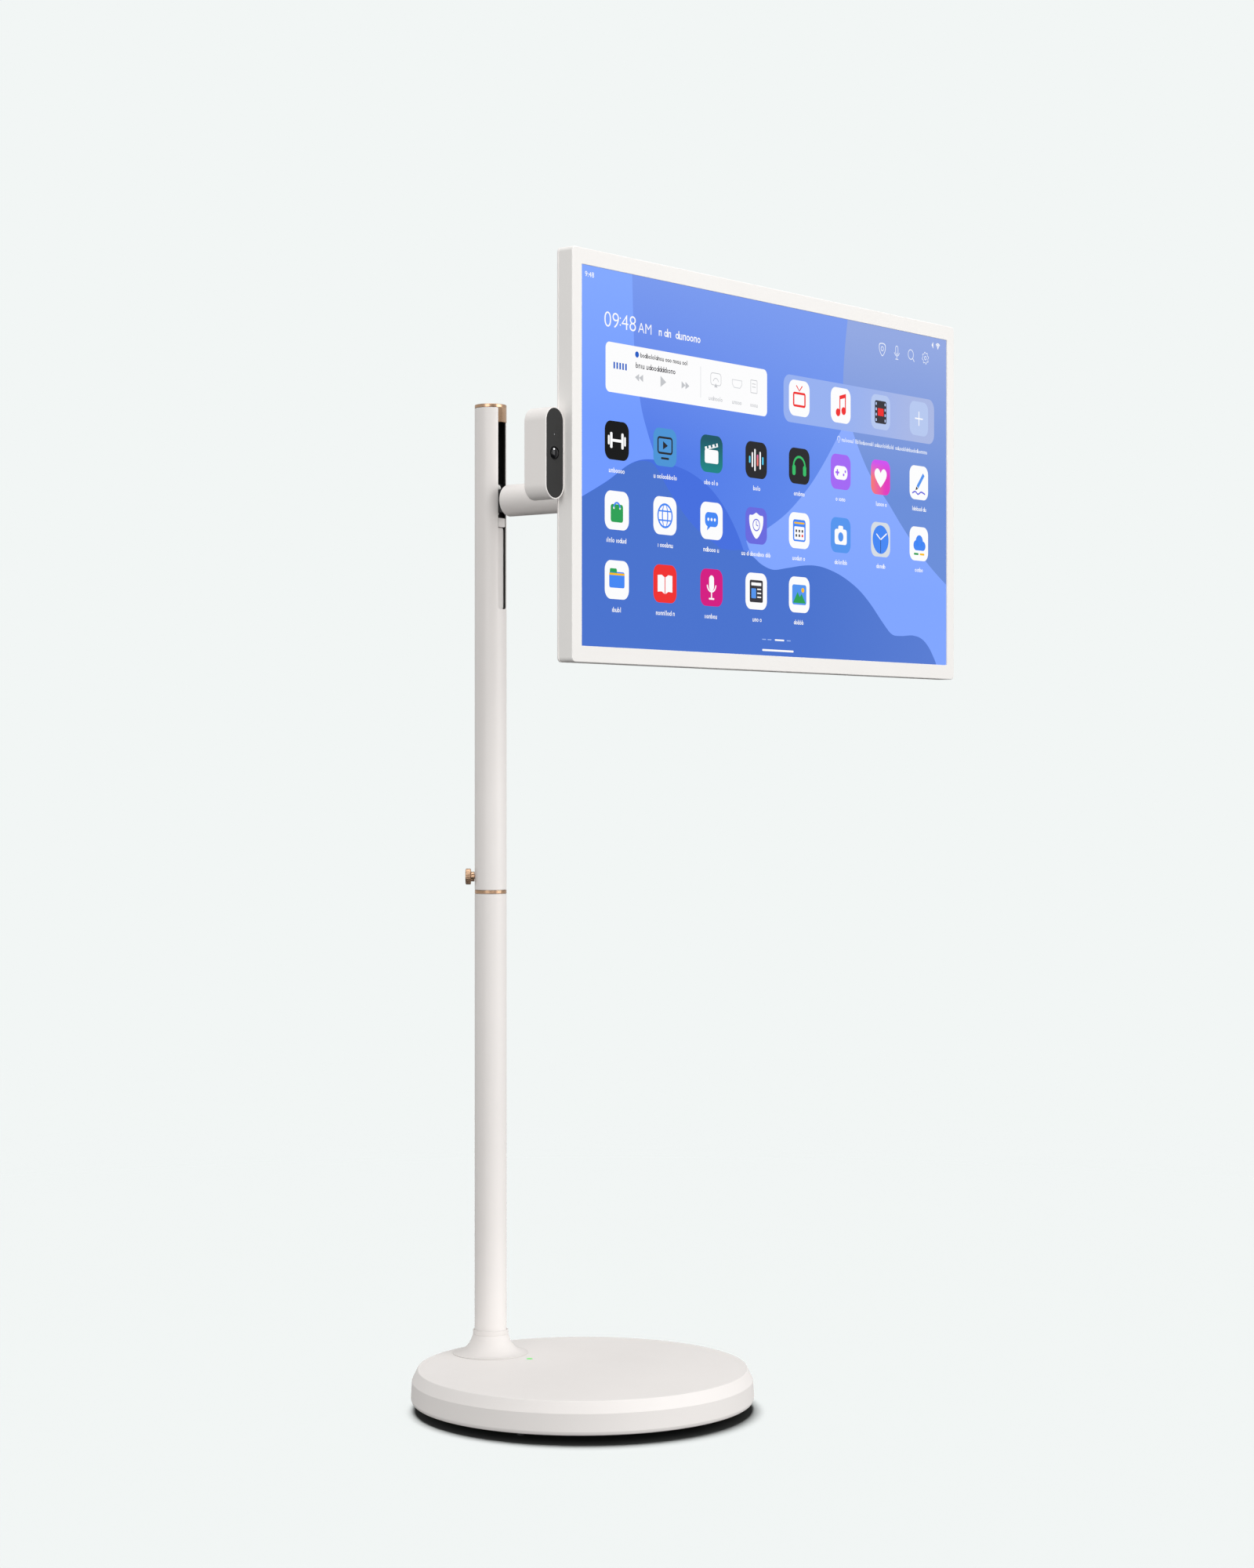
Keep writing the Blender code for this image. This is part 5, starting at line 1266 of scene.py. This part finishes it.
def corner_marks(layer):
    """Small outline icons at the top right, and the page dashes and the bar at the bottom."""
    colour, z, line = "soft_white", 172.5, 0.9
    x = 213.6                                        # shield
    shield = curve([(x, z + 8), (x + 6.4, z + 6.4), (x + 6.4, z - 1), (x, z - 8), (x - 6.4, z - 1),
                    (x - 6.4, z + 6.4), (x, z + 8)], 4)[:-1]
    layer.prism(shield, colour, shrunk(shield, x, z, 0.84, 0.86))
    layer.ring(x, z + 1, 3.0, line, colour, 20)
    x = 245                                          # microphone
    layer.frame(x, z + 2.6, 6, 11, line, colour, 3)
    layer.arc(x, z + 1.4, 5.6, 200, 340, line, colour, 12)
    layer.rect(x, z - 6.4, line, 3.6, colour)
    layer.rect(x, z - 8.2, 6, line, colour)
    layer.ring(275.6, z + 0.8, 6.2, line, colour, 32)  # magnifier
    layer.stroke([(280, z - 3.8), (283, z - 7)], 1.0, colour)
    x, teeth = 308, []                               # cog wheel
    layer.ring(x, z, 2.6, line, colour, 20)
    for k in range(32):
        u, v = polar(7.6 if k % 4 in (0, 1) else 6.0, 2 * pi * (k + 0.5) / 32)
        teeth.append((x + u, z + v))
    layer.prism(teeth, colour, shrunk(teeth, x, z, 0.86, 0.86))
    for r in (1.6, 3.6, 5.4):                        # signal
        layer.arc(336, 187.5, r, 45, 135, 1.3, "white", 8)
    layer.disc(336, 187.2, 1.0, "white", 12)
    layer.prism([(322, 190), (325.5, 194), (325.5, 186)], "white")
    for x, width, tall, colour in ((-27, 7.5, 1.2, "dim"), (-16.5, 7.5, 1.2, "dim"),
                                   (3, 18, 1.8, "white"), (21, 8, 1.2, "dim")):
        layer.rect(x, -181, width, tall, colour, 0.5)
    layer.rect(0, -193, 61, 2.2, "white", 1.0)


def highlights(top):
    """What lies on top: the note's stem, and marks on the film, the newspaper and the calendar."""
    note, film = COLUMNS[5:7]
    top.prism([(note - 2.8, 89), (note - 0.9, 89), (note - 0.9, 104.6), (note + 10.6, 107.4),
               (note + 10.6, 112), (note - 2.8, 108.6)], "red")
    top.rect(note + 9.5, 100, 2.0, 16, "red")
    for k in range(4):
        for side in (-1, 1):
            top.rect(film + side * 9.6, 87.9 + 6.4 * k, 2.4, 3.2, "panel_tile", 0.6)
    top.rect(film, 97.5, 12.5, 9, "red", 0.8)
    for k in range(3):
        top.rect(-36.6, -125.2 - 4.4 * k, 7.4, 1.5, "white", 0.5)
        top.rect(36 + 6 * k, -54.5, 3, 3, "slate", 0.4)
        top.rect(36 + 6 * k, -59.8, 3, 3, "slate" if k < 2 else "red", 0.4)


def digits(name, text, x, z, height, width, thin):
    """Clock digits: their lowest left corner is at x, z, and the line is as wide as asked."""
    drawing = bpy.data.curves.new(name, "FONT")
    drawing.body, drawing.extrude, drawing.offset, drawing.resolution_u = text, 0.01, thin, 6
    drawn = show(name, drawing)
    bpy.context.view_layer.update()
    mesh = bpy.data.meshes.new_from_object(drawn.evaluated_get(bpy.context.evaluated_depsgraph_get()))
    bpy.data.objects.remove(drawn, do_unlink=True)
    us, vs = [v.co.x for v in mesh.vertices], [v.co.y for v in mesh.vertices]
    u0, v0, wide, tall = min(us), min(vs), max(us) - min(us), max(vs) - min(vs)
    front = glass_low.y - 7 * LAYER
    for vert in mesh.vertices:
        u, v, depth = vert.co
        vert.co = (at_x(x + (u - u0) / wide * width), front if depth > 0 else front + LAYER_THICK,
                   at_z(z + (v - v0) / tall * height))
    shape = bmesh.new()
    shape.from_mesh(mesh)
    bmesh.ops.remove_doubles(shape, verts=shape.verts, dist=1e-7)
    put(finish_piece(name, shape, PALETTE["white"], 30), "display", "display_glass")


def screen_picture():
    wallpaper()
    tiles, glyphs, details = Layer("app_tiles", 6), Layer("app_glyphs", 7), Layer("app_details", 8)
    top = Layer("app_highlights", 9)
    app_grid(tiles, glyphs, details)
    media_card(tiles, glyphs)
    shelf(tiles, glyphs, details)
    corner_marks(glyphs)
    highlights(top)
    for piece in (tiles, glyphs, details, top):
        piece.done()
    digits("clock_hours", "09", -314.6, 139, 16, 24.5, -0.012)
    digits("clock_minutes", "48", -285.5, 139, 16, 24.5, -0.012)
    dots = Layer("clock_dots", 7)
    for z in (143.2, 150.4):
        dots.disc(-287.8, z, 0.95, "white", 16)
    squiggle(dots, -221, -145, 139.5, 9.0, "white")
    dots.done()
    digits("clock_half", "AM", -257, 139, 10.6, 23, -0.010)
    digits("clock_corner", "9:48", -347, 187.5, 5.4, 15, 0.0)


screen_picture()


# ---- stage, lights and camera ----------------------------------------------------
BACKDROP = srgb(242, 246, 245)
# The sky's brightness from straight below, 0, to straight above, 1: a bright band over a dark ground.
SKY = ((0.0, 0.10), (0.30, 0.12), (0.43, 0.70), (0.77, 0.70), (0.88, 0.20), (1.0, 0.20))
FLOOR_SHADE = 0.12                      # the floor's own reflectance, beside the backdrop's
FLOOR_SKY = 0.42                        # how much of that colour the sky alone gives it
FLOOR_NEAR, FLOOR_FAR = 1.2, 5.0        # where the floor starts to fade, and where it is gone
SUN_LEAN = radians(22)                  # how far the floor's light leans from straight above
SUN_SIDE = Vector((0.597, 0.802, 0))    # the side that it leans to, behind the object


def fade_out(material):
    """The floor thins out into the backdrop with distance, so that it has no edge."""
    tree = material.node_tree
    place = add_node(tree, "ShaderNodeTexCoord").outputs["Object"]
    reach = add_node(tree, "ShaderNodeVectorMath", {0: place}, operation="LENGTH").outputs["Value"]
    share = add_node(tree, "ShaderNodeMapRange", {"Value": reach, "From Min": FLOOR_NEAR,
                                                  "From Max": FLOOR_FAR}, interpolation_type="SMOOTHSTEP")
    solid, clear = tree.nodes["Principled BSDF"], add_node(tree, "ShaderNodeBsdfTransparent")
    blend = add_node(tree, "ShaderNodeMixShader", {0: share.outputs[0], 1: solid.outputs[0],
                                                   2: clear.outputs[0]})
    feed(tree, tree.nodes["Material Output"].inputs["Surface"], blend.outputs[0])


def stage_floor():
    """A pale floor as bright as the backdrop, lit evenly by a light of its own."""
    shape = bmesh.new()
    bmesh.ops.create_grid(shape, x_segments=2, y_segments=2, size=FLOOR_FAR)
    shade_of_floor = tuple(c * FLOOR_SHADE for c in BACKDROP)
    material = surface("pale_floor", shade_of_floor, 0.9, 0.03, 0.998, grain=300.0, depth=0.0,
                       Specular_IOR_Level=0.0)
    fade_out(material)
    floor = finish_piece("floor", shape, material)
    floor.location.z = -0.0002
    floor.visible_diffuse = floor.visible_glossy = False
    return floor


def linked(name, members, state="INCLUDE"):
    """A group of objects for light linking."""
    group = bpy.data.collections.new(name)
    for member in members:
        group.objects.link(member)
    for entry in group.collection_objects:
        entry.light_linking.link_state = state
    return group


def aimed(name, data, place, direction, front="Z"):
    """A light or a camera at a place, with its front axis along a direction."""
    made = show(name, data)
    made.location = place
    made.rotation_mode = "QUATERNION"
    made.rotation_quaternion = Vector(direction).to_track_quat(front, "Y")
    return made


def floor_light(floor):
    """The light that draws the contact shadow under the base: it comes from above and a little behind."""
    light = bpy.data.lights.new("contact", "SUN")
    light.angle = radians(34)
    light.energy = pi * (1 / FLOOR_SHADE - FLOOR_SKY) / cos(SUN_LEAN)
    made = aimed("contact", light, (0, 0, 0), SUN_SIDE * sin(SUN_LEAN) + Z * cos(SUN_LEAN))
    low = [o for o in bpy.context.scene.objects if o.type == "MESH" and not o.hide_render
           and o.name.startswith(("caster", "base"))]
    made.light_linking.receiver_collection = linked("floor_only", [floor])
    made.light_linking.blocker_collection = linked("base_only", low)


def lamp(name, place, aim, size, power, lit_only):
    light = bpy.data.lights.new(name, "AREA")
    light.shape, light.energy = "RECTANGLE", power
    light.size, light.size_y = size
    made = aimed(name, light, place, Vector(place) - Vector(aim))
    made.visible_camera = False
    made.light_linking.receiver_collection = lit_only
    return made


def sky():
    """The backdrop's own colour for the camera, and the studio's light for the object."""
    world = bpy.data.worlds.new("studio")
    world.use_nodes = True
    bpy.context.scene.world = world
    tree = world.node_tree
    back = tree.nodes["Background"]
    back.inputs["Color"].default_value = (*BACKDROP, 1)
    direction = add_node(tree, "ShaderNodeTexCoord").outputs["Generated"]
    height = add_node(tree, "ShaderNodeSeparateXYZ", {0: direction}).outputs["Z"]
    share = add_node(tree, "ShaderNodeMapRange", {"Value": height, "From Min": -1.0}).outputs[0]
    light = add_ramp(tree, share, [(at, (level, level, level * 0.985)) for at, level in SKY])
    studio = add_node(tree, "ShaderNodeBackground", {"Color": light, "Strength": 1.0})
    rays = add_node(tree, "ShaderNodeLightPath")
    choose = add_node(tree, "ShaderNodeMixShader", {0: rays.outputs["Is Camera Ray"],
                                                    1: studio.outputs[0], 2: back.outputs[0]})
    feed(tree, tree.nodes["World Output"].inputs["Surface"], choose.outputs[0])


def lamps(floor):
    objects = bpy.data.objects
    aim = (screen.x, screen.y, 0.9)
    but_floor = linked("all_but_floor", [floor], "EXCLUDE")
    but_tab = linked("all_but_floor_and_tab", [floor, objects["pole_cap_tab"]], "EXCLUDE")
    key = lamp("key", (1.1, -4.1, 1.9), aim, (3.0, 3.0), 100, but_tab)
    lamp("strip", (-2.2, -3.3, 1.5), aim, (0.35, 0.9), 10, but_tab)
    lamp("fill", (-3.8, -1.0, 1.8), aim, (2.2, 2.2), 35, but_floor)
    lamp("glint", (0.93, -1.79, 2.56), middle("camera_lens"), (0.9, 0.9), 130,
         linked("lens_only", [objects["camera_lens_dome"]]))
    lamp("top", (0.0, 0.0, 3.6), (0, 0, 0), (2.4, 2.4), 48, but_floor)
    display = [o for o in bpy.context.scene.objects if o.get("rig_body") == "display" and o.type == "MESH"]
    key.light_linking.blocker_collection = linked("all_but_display", display, "EXCLUDE")
    floor_light(floor)


def camera():
    """The photograph's viewing angle, level with the object's middle."""
    lens = bpy.data.cameras.new("view")
    lens.lens, lens.sensor_width, lens.shift_y = 69.6, 36.0, -0.00485
    lens.clip_start, lens.clip_end = 0.05, 100
    bpy.context.scene.camera = aimed("view", lens, (-2.78945, -2.24535, 0.753), (0.7842, 0.6206, 0), "-Z")


sky()
lamps(stage_floor())
camera()
bpy.context.scene.view_settings.view_transform = "Standard"
bpy.context.view_layer.update()
